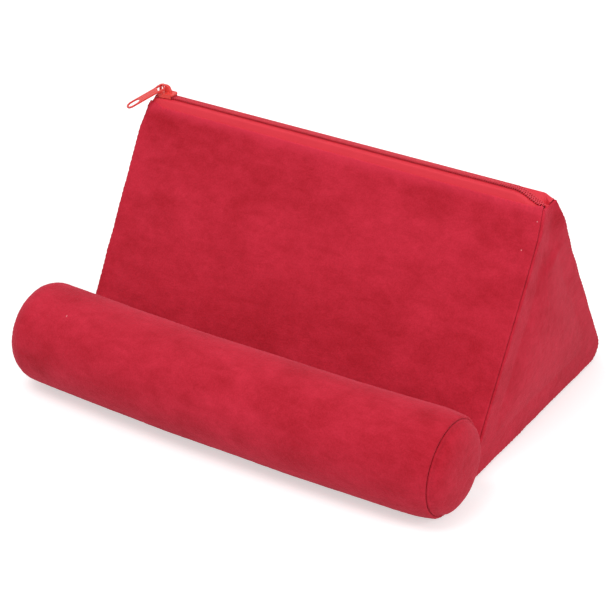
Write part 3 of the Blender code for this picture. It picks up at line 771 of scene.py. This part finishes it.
def shape_width(points):
    """Swells the wedge's sides high up, and pinches them in at the front of the ridge."""
    y, z = points[..., 1], points[..., 2]
    pinch = smooth((z - PINCH_Z) / PINCH_RISE) * smooth((PINCH_Y - y) / PINCH_FADE)
    shoulder = np.exp(-((z - SHOULDER_Z) / SHOULDER_SPREAD) ** 2) * smooth((y - SHOULDER_Y) / SHOULDER_FADE)
    left = points[..., 0] < 0
    low = np.where(left, LEFT_WIDTH_LOW, WIDTH_LOW)
    swell = np.where(left, LEFT_WIDTH_SWELL, WIDTH_SWELL)
    share = low + swell * smooth(z / SWELL_HEIGHT) - WIDTH_PINCH * pinch + WIDTH_SHOULDER * shoulder
    points[..., 0] *= share
    return points


def wedge_swell():
    """The wedge's skin under the pressure of its filling, with its seams held."""
    stops = np.linspace(0, PROFILE.total, 121)[:-1]
    here, _ = PROFILE.read(stops)
    points = [(x, y, z) for x in (-HALF, HALF) for y, z in here]
    seams = PROFILE.read(np.array([PROFILE.arc(0, 0.5), PROFILE.arc(1, 0.5)]))[0]

    def held(rest):
        from_outline = np.min(np.linalg.norm(rest[:, None, 1:] - here[None], axis=2), axis=1)
        side = np.hypot(HALF - np.abs(rest[:, 0]), from_outline)
        along = np.min(np.linalg.norm(rest[:, None, 1:] - seams[None], axis=2), axis=1)
        top = np.abs(rest[:, 2] - PANEL_TOP)
        under = rest[:, 2]
        nearest = np.minimum(np.minimum(side, along), np.minimum(top, under))
        return 1 - smooth(nearest / HELD_REACH)

    return simulate_skin("wedge_skin", points, stacked_faces(2, len(here)), held, 0.005, 0.012)


def press_out(points, normals, swell, crown, near_edge):
    """Moves a cover outwards as its skin swells, by its crown at most."""
    if swell is None:
        lift = near_edge
    else:
        out = np.sum(swell.at(points) * normals, axis=-1)
        lift = np.maximum(0.0, out) / max(1e-6, np.percentile(out, 99.5))
    lift = np.minimum(lift, MOST_LIFT)
    return points + normals * (lift * crown)[..., None]


def roughen(points, normals, edge, along, depth_mask):
    """Puckers along the seams, soft unevenness in the filling, and the nap itself."""
    stitches = np.cos(2 * math.pi * along / STITCH) * np.exp(-(edge / PUCKER_REACH) ** 2)
    strained = noise(points, 0.009, 3) * np.exp(-edge / STRAIN_REACH) * STRAIN
    lumps = sum(noise(points, size, seed) * height for size, seed, height in LUMPS)
    nap = sum(noise(points, size, seed) * share for size, seed, share in NAP)
    move = PUCKER * stitches + strained + lumps * smooth(edge / STRAIN_REACH) + nap * NAP_HEIGHT
    return points + normals * (move * depth_mask)[..., None]


def cover_from_grid(name, face, normals, finish, wrap=False):
    """A closed sheet: the fine face, a coarse back, and the rim between them."""
    sheet = Sheet()
    fine = sheet.add_grid(face, wrap)
    back = sheet.add_grid(face[::STRIDE, ::STRIDE] - normals[::STRIDE, ::STRIDE] * CLOTH, wrap)
    if wrap:
        sheet.add_rim(fine[0], back[0])
        sheet.add_rim(fine[-1], back[-1])
    else:
        sheet.add_rim(border(fine), border(back))
    return sheet.make(name, finish)


def cover_from_rings(name, face, normals, stride, finish):
    """A closed round sheet: rings from its seam in to a pole, over a coarse back."""
    sheet = Sheet()
    fine = sheet.add_grid(face, True)
    sheet.add_pole(fine[-1], face[-1].mean(axis=0))
    back_points = face[::stride, ::STRIDE] - normals[::stride, ::STRIDE] * CLOTH
    back = sheet.add_grid(back_points, True)
    sheet.add_pole(back[-1], back_points[-1].mean(axis=0))
    sheet.add_rim(fine[0], back[0])
    return sheet.make(name, finish)


def lift_corners(points, along):
    """Draws the front panel's top edge up the slope at both corners."""
    x = points[..., 0]
    rise = CORNER_RISE * smooth((-x - CORNER_START) / CORNER_LENGTH)
    rise = rise + RIGHT_CORNER_RISE * smooth((x - RIGHT_CORNER_START) / RIGHT_CORNER_LENGTH)
    climb = np.array([0, math.cos(FRONT_SLOPE), math.sin(FRONT_SLOPE)])
    return points + (rise * smooth(1 - along / CORNER_DEPTH)[:, None])[..., None] * climb


def wedge_cover(name, first, last, crown, cells, swell, finish, at_corners=None):
    """One panel of the wedge between two distances along its outline."""
    side_edge = edge_table(SEAM_RADIUS, MITRED)
    end_edge = edge_table(SEAM_RADIUS, FLUSH)
    along, along_depth = run_across(last - first, end_edge, end_edge, cells[0])
    across, across_depth = run_across(2 * HALF, side_edge, side_edge, cells[1])
    here, normal = PROFILE.read(first + along)
    points = spread((across - HALF)[None], here[:, None])
    normals = spread(np.zeros((1, len(across))), normal[:, None])
    edge_along = np.minimum(along, last - first - along)[:, None]
    edge_across = np.minimum(across, 2 * HALF - across)[None]
    edge = np.minimum(edge_along, edge_across)
    bowl = np.sin(math.pi * along / (last - first))[:, None] ** 1.2
    bowl = bowl * (1 - (across / HALF - 1)[None] ** 2)
    points = press_out(points, normals, swell, crown, bowl)
    following = np.where(edge_along < edge_across, points[..., 0], (first + along)[:, None])
    depth = along_depth[:, None] + across_depth[None]
    points = roughen(points, normals, edge, following, face_share(depth))
    points = shape_width(points - normals * depth[..., None])
    points[..., 2] = np.maximum(points[..., 2], 0.0)
    if at_corners:
        points = at_corners(points, along)
    return cover_from_grid(name, points, normals, finish)


def side_fold(y, z):
    """The soft crease high on the side, where the cover is pinched towards the zip."""
    line = CREASE_Z - CREASE_DROP * smooth((CREASE_DROP_Y - y) / CREASE_DROP_LENGTH)
    above = z - line
    step = smooth(above / CREASE_STEP_LENGTH + 0.5)
    ridge = np.exp(-(above / CREASE_RIDGE_SPREAD) ** 2) * smooth((y - CREASE_START_Y) / CREASE_FADE)
    return ridge * CREASE_RIDGE - step * CREASE_STEP


def side_cover(name, side, swell, finish):
    """A side of the wedge, from its seam in to its middle."""
    edge = edge_table(SEAM_RADIUS, MITRED)
    stops = np.linspace(0, PROFILE.total, 448, endpoint=False)
    here, normal = PROFILE.read(stops)
    centre = here.mean(axis=0)
    rings = [here - normal * offset for offset in edge[:-1, 0]]
    depths = list(edge[:-1, 1])
    base = here - normal * edge[-1, 0]
    for share in 1 - (1 - np.linspace(0, 1, 53)[:-1]) ** 1.25:
        rings.append(base + (centre - base) * share)
        depths.append(0.0)
    flat = np.array(rings)
    inset = np.array([np.linalg.norm(ring[:, None] - here[None], axis=2).min(axis=1) for ring in flat])
    depths = np.array(depths)[:, None]
    points = spread(side * HALF, flat)
    normals = spread(side, np.zeros_like(flat))
    bowl = 1 - np.clip(1 - inset / BOWL_REACH, 0, 1) ** 2.2
    points = press_out(points, normals, swell, SIDE_CROWN, bowl)
    mask = face_share(depths) + np.zeros(inset.shape)
    fold = side_fold(points[..., 1], points[..., 2]) * smooth((inset - CREASE_INSET) / CREASE_INSET_FADE)
    points = roughen(points, normals, inset, stops[None] + np.zeros(inset.shape), mask)
    points = shape_width(points + normals * (fold - depths)[..., None])
    points[..., 2] = np.maximum(points[..., 2], 0.0)
    if side > 0:
        near = np.exp(-((points[..., 1] - CORNER_FOLD_Y) / CORNER_FOLD_SPREAD) ** 2)
        near = near * smooth((points[..., 2] - CORNER_FOLD_Z) / CORNER_FOLD_LENGTH)
        points[..., 2] += CORNER_FOLD * near
    return cover_from_rings(name, points, normals, SIDE_STRIDE, finish)


# Roll covers

def roll_centre(x):
    """Where the roll's axis lies in y: it bows forward towards the middle."""
    share = x / ROLL_HALF
    return ROLL_Y - ROLL_BOW * np.maximum(0.0, 1 - share * share)


def roll_line(run):
    """Place along the roll, radius and lean of its cover, by the distance along the cover."""
    run = np.asarray(run, float)
    lean = np.maximum(0.0, -run - LEFT_START) / LEFT_TURN
    x = np.where(lean > 0, -LEFT_START - LEFT_TURN * np.sin(lean), run)
    into_right = np.maximum(0.0, (run - (ROLL_HALF - TAPER_LENGTH)) / TAPER_LENGTH)
    radius = ROLL_RADIUS - ROLL_TAPER * into_right ** 2 - LEFT_TURN * (1 - np.cos(lean))
    return x, radius, lean


def roll_swell():
    """The roll's skin under the pressure of its filling, with its end seams held."""
    rows, sizes, _ = roll_line(np.linspace(-LEFT_RUN, ROLL_HALF, 49))
    _, rays = circle(48)
    points = [(x, roll_centre(x) + size * y, ROLL_RADIUS + size * z)
              for x, size in zip(rows, sizes) for y, z in rays]

    def held(rest):
        radial = np.hypot(rest[:, 1] - roll_centre(rest[:, 0]), rest[:, 2] - ROLL_RADIUS)
        at_left = np.hypot(rest[:, 0] - rows[0], radial - sizes[0])
        at_right = np.hypot(rest[:, 0] - rows[-1], radial - sizes[-1])
        return 1 - smooth(np.minimum(at_left, at_right) / HELD_REACH)

    return simulate_skin("roll_skin", points, stacked_faces(len(rows), len(rays)), held, 0.0045, 0.010)


def settle(points):
    """Flattens what would press into the surface that the cushion stands on."""
    height = points[..., 2].copy()
    above = (height - ROLL_FLAT) / FLAT_SOFTNESS
    settled = ROLL_FLAT + FLAT_SOFTNESS * np.log1p(np.exp(np.clip(above, -40, 40)))
    settled = np.where(above > 12, height, settled)
    points[..., 2] = settled - ROLL_FLAT * np.exp(-np.maximum(0.0, height) / FLAT_FADE)
    return points


def sleeve_cover(swell, finish):
    """The roll's long cover, a tube that leans in to its flush left seam."""
    length = LEFT_RUN + ROLL_HALF
    left_edge, right_edge = edge_table(FLUSH_RADIUS, FLUSH), edge_table(SEAM_RADIUS, MITRED)
    places, depths = run_across(length, left_edge, right_edge, 232)
    x, size, lean = roll_line(places - LEFT_RUN)
    angles, rays = circle(ROLL_SIDES)
    shape = (len(x), len(angles))
    axis = np.stack([roll_centre(x), np.full(len(x), ROLL_RADIUS)], -1)
    points = spread(x[:, None], axis[:, None] + size[:, None, None] * rays)
    normals = spread(-np.sin(lean)[:, None], np.cos(lean)[:, None, None] * rays)
    inset = np.minimum(places, length - places)[:, None] + np.zeros(shape)
    points = press_out(points, normals, swell, ROLL_SWELL, smooth(inset / 0.03))
    following = np.broadcast_to(angles[None] * ROLL_RADIUS, shape)
    mask = face_share(depths)[:, None] + np.zeros(shape)
    points = roughen(points, normals, inset, following, mask)
    points = points - normals * depths[:, None, None]
    return cover_from_grid("roll_sleeve_cover", settle(points), normals, finish, wrap=True)


def cap_cover(name, side, finish):
    """A domed end of the roll, from its seam in to its middle."""
    flush = side < 0
    edge = edge_table(FLUSH_RADIUS, FLUSH) if flush else edge_table(SEAM_RADIUS, MITRED)
    seam_x, radius, _ = (float(value) for value in roll_line(-LEFT_RUN if flush else ROLL_HALF))
    middle = np.array([float(roll_centre(seam_x)), ROLL_RADIUS])
    angles, rays = circle(ROLL_SIDES)
    radii = [radius - offset for offset, _ in edge[:-1]]
    depths = [depth for _, depth in edge[:-1]]
    start = radius - edge[-1, 0]
    shares = np.linspace(0, 1, 29)[:-1]
    radii += [start * (1 - share) for share in shares]
    depths += [0.0] * len(shares)
    radii, depths = np.array(radii), np.array(depths)
    if flush:
        ball = radius / math.cos(LEFT_LEAN)
        dome = np.sqrt(ball ** 2 - radii ** 2) - math.sqrt(ball ** 2 - radius ** 2)
        tilt = np.arcsin(radii / ball)
    else:
        dome = CAP_BULGE * np.sqrt(np.clip(1 - (np.minimum(radii, start) / start) ** 2.6, 0, 1))
        tilt = np.zeros(len(radii))
    shape = (len(radii), len(angles))
    points = spread(seam_x + side * dome[:, None], middle + radii[:, None, None] * rays)
    normals = spread(side * np.cos(tilt)[:, None], np.sin(tilt)[:, None, None] * rays)
    inset = (radius - radii)[:, None] + np.zeros(shape)
    following = np.broadcast_to(angles[None] * ROLL_RADIUS, shape)
    mask = face_share(depths)[:, None] + np.zeros(shape)
    points = roughen(points, normals, inset, following, mask)
    points = points - normals * depths[:, None, None]
    return cover_from_rings(name, points, normals, STRIDE, finish)


def web_cover(finish):
    """The strip of cloth that joins the roll's underside to the wedge's front seam."""
    x = np.linspace(-WEB_HALF, WEB_HALF, 241)
    tip_y = FRONT_EDGE_Y + WEB_TUCK
    reach = ROLL_RADIUS - WEB_INSET
    start_y = roll_centre(x) + reach * math.cos(WEB_ANGLE)
    start_z = ROLL_RADIUS + reach * math.sin(WEB_ANGLE)
    line = []
    for share in np.linspace(0, 1, WEB_STEPS):
        hang = math.sin(math.pi * share)
        wave = noise(np.stack([x, 0 * x + share * 0.01, 0 * x], -1), 0.011, 9)
        y = start_y + (tip_y - start_y) * share
        z = start_z + (FRONT_RADIUS - start_z) * share + (WEB_WAVE * wave - WEB_SAG) * hang
        line.append(np.stack([x, y, z], -1))
    top = np.array(line)
    sheet = Sheet()
    upper = sheet.add_grid(top + np.array([0, 0, CLOTH / 2]), False)
    lower = sheet.add_grid(top - np.array([0, 0, CLOTH / 2]), False)
    loop, under = border(upper), border(lower)
    sheet.faces += np.stack([loop, np.roll(loop, -1), np.roll(under, -1), under], -1).tolist()
    made = sheet.make("roll_web", finish)
    return made


# Filling

def filling_block(name, rings, finish):
    """A closed block of foam through the given rings, with a flat face at both ends."""
    sheet = Sheet()
    numbers = sheet.add_grid(np.array(rings), True)
    sheet.add_pole(numbers[0], np.mean(rings[0], axis=0))
    sheet.add_pole(numbers[-1], np.mean(rings[-1], axis=0))
    return sheet.make(name, finish)


def wedge_filling(finish):
    """The foam in the wedge, a little inside its covers."""
    here, normal = PROFILE.read(np.linspace(0, PROFILE.total, 160, endpoint=False))
    ring = here - normal * FOAM_INSET
    ring[:, 1] = np.minimum(ring[:, 1], FOAM_TOP)
    places = np.linspace(-1, 1, 41) * (HALF - FOAM_END_INSET)
    rings = [np.column_stack([np.full(len(ring), x), ring]) for x in places]
    return filling_block("wedge_filling", rings, finish)


def roll_filling(finish):
    """The foam in the roll, which follows its bow."""
    _, rays = circle(72)
    rings = []
    for x in np.linspace(-1, 1, 41) * (ROLL_HALF - FOAM_INSET):
        radius = float(roll_line(x)[1]) - FOAM_INSET
        middle = np.array([float(roll_centre(x)), ROLL_RADIUS])
        rings.append(np.column_stack([np.full(len(rays), x), middle + radius * rays]))
    return filling_block("roll_filling", rings, finish)


# Zip

def bend(x):
    """0 where the zip lies on the ridge, 1 where it has come down to the side seam."""
    right = smooth((x - (CHAIN_END_X - RIGHT_BEND)) / RIGHT_BEND)
    left = smooth((-x - (CHAIN_END_X - LEFT_BEND)) / LEFT_BEND)
    return np.where(np.asarray(x) > 0, right, left)


def chain_place(x):
    """The middle of the chain in the YZ plane, on the mid-plane of the tape."""
    share = float(bend(x))
    forward = CHAIN_FORWARD * share if x > 0 else 0.0
    return Vector((RIDGE_Y - forward, TAPE_Z + (CHAIN_END_Z - TAPE_Z) * share))


def tape_line(x, side):
    """The tape's mid-line from under the cover's edge to the chain; side is -1 in front."""
    share = min(1.0, FRONT_YIELD * float(bend(x)))
    if side > 0 and x > 0:
        share = BACK_YIELD * float(smooth((x - (TAPE_END_X - CREST_BEND)) / CREST_BEND))
    chain = chain_place(x)
    angle = FRONT_SLOPE if side < 0 else PROFILE.back_angle
    inward = -side
    climb = Vector((inward * math.cos(angle), math.sin(angle)))
    into = Vector((inward * math.sin(angle), -math.cos(angle)))
    edge = Vector(PROFILE.points[PROFILE.arcs[3][1] if side < 0 else PROFILE.arcs[2][0]])
    foot = edge + into * FOOT_UNDER - climb * FOOT_DOWN
    sill = edge + into * SILL_UNDER + climb * SILL_UP
    crest = RIDGE_Y + side * RIDGE_WIDTH / 2
    reach = RIDGE_ROUND * math.tan(angle / 2)
    centre = Vector((crest + inward * reach, TAPE_Z - RIDGE_ROUND))
    bed = Vector((chain.x + side * (CHAIN_WIDTH / 2 + BED_MARGIN), chain.y))
    seam = Vector((chain.x + side * TAPE_SPLIT / 2, chain.y))
    line = [foot, sill]
    count = 6
    for k in range(count + 1):
        lean = angle * (1 - k / count)
        point = centre + Vector((side * math.sin(lean), math.cos(lean))) * RIDGE_ROUND
        line.append(point.lerp(sill.lerp(bed, (k + 0.5) / (count + 1)), share))
    gully = (line[-1] + bed) / 2
    if side > 0 and x > 0:
        gully.y -= GULLY_DEPTH * float(smooth((x - (TAPE_END_X - GULLY_LENGTH)) / GULLY_LENGTH))
    return line + [gully, bed, seam]


def zip_tape(name, side, finish):
    """One half of the zip's tape, closed, with its weave's UV in metres."""
    end = TAPE_END_X - FRONT_TAPE_SHORT if side < 0 else TAPE_END_X
    straight_from, straight_to = -CHAIN_END_X + 2 * LEFT_BEND, CHAIN_END_X - RIGHT_BEND
    places = np.concatenate([np.linspace(-TAPE_END_X, straight_from, 15),
                             np.linspace(straight_from, straight_to, 121)[1:],
                             np.linspace(straight_to, end, 37)[1:]])
    loops, weave = [], []
    for x in places:
        line = tape_line(float(x), side)
        run = 0.0
        upper, lower, marks = [], [], []
        for i, point in enumerate(line):
            ahead = line[min(i + 1, len(line) - 1)]
            behind = line[max(i - 1, 0)]
            along = (ahead - behind).normalized()
            out = Vector((-along.y, along.x)) * (TAPE / 2)
            if out.y < 0:
                out = -out
            ripple = TAPE_RIPPLE * float(noise(np.array([[x, point.x, point.y]]), 0.012, 12)[0])
            run += (point - line[i - 1]).length if i else 0.0
            upper.append((x, point.x + out.x, point.y + out.y + ripple))
            lower.append((x, point.x - out.x, point.y - out.y + ripple))
            marks.append((x, run))
        loops.append(upper + lower[::-1])
        weave.append(marks + marks[::-1])
    sheet = Sheet()
    numbers = sheet.add_grid(np.array(loops), True)
    sheet.add_ends(numbers)
    made = sheet.make(name, finish)
    layer = made.data.uv_layers.new(name="weave")
    flat = np.array(weave).reshape(-1, 2)
    corner = np.zeros(len(made.data.loops), np.int64)
    made.data.loops.foreach_get("vertex_index", corner)
    layer.data.foreach_set("uv", flat[corner].ravel())
    return made


def tube_along(name, path, radius, sides, finish):
    """A round wire along a path, closed at both ends."""
    path = np.asarray(path, float)
    along = np.gradient(path, axis=0)
    along /= np.linalg.norm(along, axis=1, keepdims=True)
    first = np.cross(along, (1.0, 0.0, 0.0))
    first /= np.maximum(np.linalg.norm(first, axis=1, keepdims=True), 1e-9)
    second = np.cross(along, first)
    _, rays = circle(sides)
    rings = path[:, None] + radius * (rays[:, :1] * first[:, None] + rays[:, 1:] * second[:, None])
    sheet = Sheet()
    numbers = sheet.add_grid(rings, True)
    sheet.add_ends(numbers)
    return sheet.make(name, finish)


def open_by(x):
    """How far each row stands off the middle line, to the left of the slider's diamond."""
    return OPEN_BY * float(smooth((CLOSED_X - x) / OPEN_LENGTH))


def coil_row(name, side, finish):
    """One row of the coil: a flattened helix whose heads hook between the other row's."""
    turns = math.floor(2 * CHAIN_END_X / COIL_PITCH) - 1
    inner, outer = -COIL_OVERLAP, CHAIN_WIDTH / 2 - COIL_WIRE / 2
    middle, half_width = (inner + outer) / 2, (outer - inner) / 2
    half_height = (COIL_HEIGHT - COIL_WIRE) / 2
    path = []
    for k in range(turns * COIL_STEPS + 1):
        turn = k / COIL_STEPS
        x = -CHAIN_END_X + COIL_END + (turn + (0.5 if side > 0 else 0.0)) * COIL_PITCH
        if x > CHAIN_END_X - COIL_END:
            break
        place = chain_place(x)
        angle = 2 * math.pi * turn
        swing = math.copysign(abs(math.cos(angle)) ** 0.8, math.cos(angle))
        y = middle + half_width * swing + open_by(x)
        z = TAPE / 2 + COIL_HEIGHT / 2 + half_height * math.sin(angle)
        path.append((x, place.x + side * y, place.y + z))
    return tube_along(name, path, COIL_WIRE / 2, 7, finish)


def coil_stitches(name, side, finish):
    """The thread that sews one row of the coil to its tape, dipping between the turns."""
    path = []
    turns = math.floor(2 * CHAIN_END_X / COIL_PITCH) - 2
    for k in range(turns * THREAD_STEPS):
        turn = k / THREAD_STEPS
        x = -CHAIN_END_X + THREAD_START + turn * COIL_PITCH
        place = chain_place(x)
        dip = THREAD_DIP * math.cos(2 * math.pi * turn)
        y = THREAD_PLACE + open_by(x)
        path.append((x, place.x + side * y, place.y + THREAD_HEIGHT + dip))
    return tube_along(name, path, THREAD, 8, finish)


# Slider and pull tab

def prism(points, low, high):
    """A closed prism in the XY plane as vertices and faces."""
    return [(x, y, z) for z in (low, high) for x, y in points], stacked_faces(2, len(points))


def fused(name, solids, voxel, finish):
    """Closed solids that overlap, fused and softened like a casting under enamel."""
    verts, faces = [], []
    for solid_verts, solid_faces in solids:
        faces += [[len(verts) + i for i in face] for face in solid_faces]
        verts += solid_verts
    made = raw_object(name, verts, faces)
    remesh(made, voxel)
    soften = made.modifiers.new("soften", "SMOOTH")
    soften.factor = 0.5
    soften.iterations = 4
    done = shaped_mesh(made)
    bpy.data.objects.remove(made)
    done.name = name
    done.materials.clear()
    return link_mesh(name, done, finish)


def half_circle(x, radius, start, steps):
    """Points round half a circle from the start angle, about a centre on the X axis."""
    turns = [start + math.pi * k / steps for k in range(steps + 1)]
    return [(x + radius * math.cos(turn), radius * math.sin(turn)) for turn in turns]


def slider_piece(finish):
    """A cast slider: two plates, lips, the diamond, and the bridge over its top."""
    outline = [(x, -y) for x, y in SLIDER_SIDE] + list(SLIDER_SIDE[::-1])
    solids = [prism(outline, low, low + PLATE) for low in (PLATE_Z, UNDER_PLATE_Z)]
    solids.append(prism(DIAMOND, *DIAMOND_Z))
    wide, narrow = WIDE_HALF - LIP, NARROW_HALF - LIP
    lip = [(-0.0040, wide), (-0.0015, wide), (0.0001, narrow), (0.0040, narrow), *SLIDER_SIDE[5:1:-1]]
    for side in (-1, 1):
        solids.append(prism([(x, side * y) for x, y in lip], *LIP_Z))
    foot, top, roof = BRIDGE_FOOT, BRIDGE_TOP, BRIDGE_ROOF
    outer = [(-0.0054, foot), (-0.0054, top - 0.0012), (-0.0049, top - 0.0004), (-0.0040, top),
             (-0.0002, top), (0.0012, top - 0.0008), (0.0022, foot + 0.0015), (0.0024, foot)]
    inner = [(-0.0017, foot), (-0.0017, roof - 0.0004), (-0.0021, roof),
             (-0.0040, roof), (-0.0046, roof - 0.0004), (-0.0047, foot)]
    verts, faces = prism(outer + inner, -BRIDGE_HALF, BRIDGE_HALF)
    solids.append(([(x, z, y) for x, y, z in verts], faces))
    made = fused("slider_body", solids, SLIDER_VOXEL, finish)
    made.data.transform(Matrix.Translation((SLIDER_MIDDLE_X, RIDGE_Y, TAPE_Z)))
    return made


def tab_piece(finish):
    """The pull tab: a head with an eye, a bare flat blade, and an oval slot at its end."""
    joint = [j for j in frame["joints"] if j["name"] == "tab_swing"][0]
    pivot, axis = Vector(joint["pos_m"]), Vector(joint["axis"]).normalized()
    level = Vector((-abs(axis.y), -abs(axis.x), 0.0)).normalized()
    along = level * math.cos(TAB_DROP) - Vector((0, 0, 1)) * math.sin(TAB_DROP)
    across = -axis
    up = along.cross(across)
    turn = Matrix((along, across, up)).transposed().to_4x4()
    half_head, half_body = TAB_HEAD / 2, TAB_WIDTH / 2
    tip = TAB_LENGTH - half_body
    lower = [(-0.00045, -half_head + 0.0010), (0.0005, -half_head), (0.0030, -half_head),
             (0.0041, -half_head + 0.0005), (0.0054, -half_body)]
    outline = lower + half_circle(tip, half_body, -math.pi / 2, 24)
    outline += [(x, -y) for x, y in reversed(lower)]
    blade = raw_object("blade", *prism(outline, -TAB_THICK / 2, TAB_THICK / 2))
    half_slot = SLOT_WIDTH / 2
    slot_end = TAB_LENGTH - (TAB_WIDTH - SLOT_WIDTH) / 2
    slot = (half_circle(slot_end - half_slot, half_slot, -math.pi / 2, 16)
            + half_circle(slot_end - SLOT_LENGTH + half_slot, half_slot, math.pi / 2, 16))
    cutters = [raw_object(name, *prism(hole, -TAB_THICK, TAB_THICK))
               for name, hole in (("eye_cut", EYE), ("slot_cut", slot))]
    for cutter in cutters:
        cut = blade.modifiers.new(cutter.name, "BOOLEAN")
        cut.operation = "DIFFERENCE"
        cut.object = cutter
    cut_mesh = shaped_mesh(blade)
    solid = ([v.co.copy() for v in cut_mesh.vertices], [list(p.vertices) for p in cut_mesh.polygons])
    for extra in [blade] + cutters:
        bpy.data.objects.remove(extra)
    made = fused("tab_blade", [solid], TAB_VOXEL, finish)
    made.data.transform(Matrix.Translation(pivot) @ turn)
    return made


# Scene

def place_camera():
    """The camera that the fit to the photograph gave."""
    back = CAMERA_RIGHT.cross(CAMERA_UP).normalized()
    turn = Matrix((CAMERA_RIGHT, CAMERA_UP, back)).transposed().to_4x4()
    data = bpy.data.cameras.new("camera")
    data.lens = CAMERA_LENS
    data.sensor_width = SENSOR
    data.clip_start = 0.01
    made = place_object("camera", data)
    made.matrix_world = Matrix.Translation(CAMERA_PLACE) @ turn
    bpy.context.scene.camera = made


def area_light(name, place, aim, width, power):
    """A round lamp that faces its aim."""
    data = bpy.data.lights.new(name, "AREA")
    data.shape = "DISK"
    data.size = width
    data.energy = power
    made = place_object(name, data)
    made.location = place
    made.rotation_mode = "QUATERNION"
    made.rotation_quaternion = (Vector(aim) - Vector(place)).to_track_quat("-Z", "Y")


def light_scene():
    """Two broad lamps in a white world, which is full white only where it is looked at."""
    for name, lamp in LAMPS.items():
        area_light(name, *lamp)
    world = bpy.data.worlds.new("studio")
    bpy.context.scene.world = world
    world.use_nodes = True
    tree = world.node_tree
    backdrop = tree.nodes["Background"]
    backdrop.inputs["Color"].default_value = (1.0, 1.0, 1.0, 1.0)
    strength = add_node(tree, "ShaderNodeMapRange", values={"To Min": WORLD_LIGHT, "To Max": 1.0},
                        links={"Value": seen_share(tree)})
    tree.links.new(strength.outputs["Result"], backdrop.inputs["Strength"])


def make_floor():
    """A wide pale floor that glows where it is looked at and keeps the cushion's shadow."""
    made, tree, shader = new_material("pale_floor", {"Base Color": (FLOOR_TONE, FLOOR_TONE, FLOOR_TONE, 1.0),
                                                     "Roughness": 0.9, "Specular IOR Level": 0.0,
                                                     "Emission Color": (1.0, 1.0, 1.0, 1.0)})
    glow = math_node(tree, "MULTIPLY", seen_share(tree), FLOOR_GLOW)
    tree.links.new(glow, shader.inputs["Emission Strength"])
    corners = [(x * FLOOR_REACH, y * FLOOR_REACH, 0) for x, y in ((-1, -1), (1, -1), (1, 1), (-1, 1))]
    floor = raw_object("floor", corners, [(0, 1, 2, 3)])
    floor.data.materials.append(made)
    floor.location.z = -FLOOR_DROP


def dress(piece, body, nodes):
    """Puts a piece on its body, in place of its nodes."""
    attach(piece, body)
    if nodes:
        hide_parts(*nodes)


def main():
    """Builds and dresses every piece."""
    place_camera()
    light_scene()
    make_floor()
    plush = plush_material()
    woven = woven_material()
    coil = coil_material()
    thread = thread_material()
    enamel = enamel_material()
    foam = foam_material()

    wedge = wedge_swell()
    roll = roll_swell()
    front = wedge_cover("front_cover", PROFILE.arc(3, 1), PROFILE.total + PROFILE.arc(0, 0.5),
                        FRONT_CROWN, (144, 232), wedge, plush, lift_corners)
    back = wedge_cover("back_cover", PROFILE.arc(1, 0.5), PROFILE.arc(2, 0),
                       BACK_CROWN, (136, 200), wedge, plush)
    base = wedge_cover("base_cover", PROFILE.arc(0, 0.5), PROFILE.arc(1, 0.5),
                       0.0, (88, 136), None, plush)
    dress(front, "cushion", ["front_panel"])
    dress(back, "cushion", ["back_panel"])
    dress(base, "cushion", ["base_panel"])
    dress(side_cover("right_side_cover", 1, wedge, plush), "cushion", ["right_gusset"])
    dress(side_cover("left_side_cover", -1, wedge, plush), "cushion", ["left_gusset"])
    dress(sleeve_cover(roll, plush), "cushion", ["roll_sleeve"])
    dress(cap_cover("right_cap_cover", 1, plush), "cushion", ["roll_cap_right"])
    dress(cap_cover("left_cap_cover", -1, plush), "cushion", ["roll_cap_left"])
    dress(web_cover(plush), "cushion", [])

    for side, word in ((-1, "front"), (1, "back")):
        dress(zip_tape(word + "_tape_woven", side, woven), "cushion", [word + "_zip_tape"])
        dress(coil_row(word + "_coil_wire", side, coil), "cushion", [word + "_coil"])
        dress(coil_stitches(word + "_coil_thread", side, thread), "cushion", [])
    dress(slider_piece(enamel), "slider", ["zip_slider"])
    dress(tab_piece(enamel), "tab", ["pull_tab"])
    dress(wedge_filling(foam), "cushion", ["foam_wedge"])
    dress(roll_filling(foam), "cushion", ["roll_core"])

    scene = bpy.context.scene
    scene.view_settings.view_transform = "Standard"
    bpy.context.view_layer.update()


main()
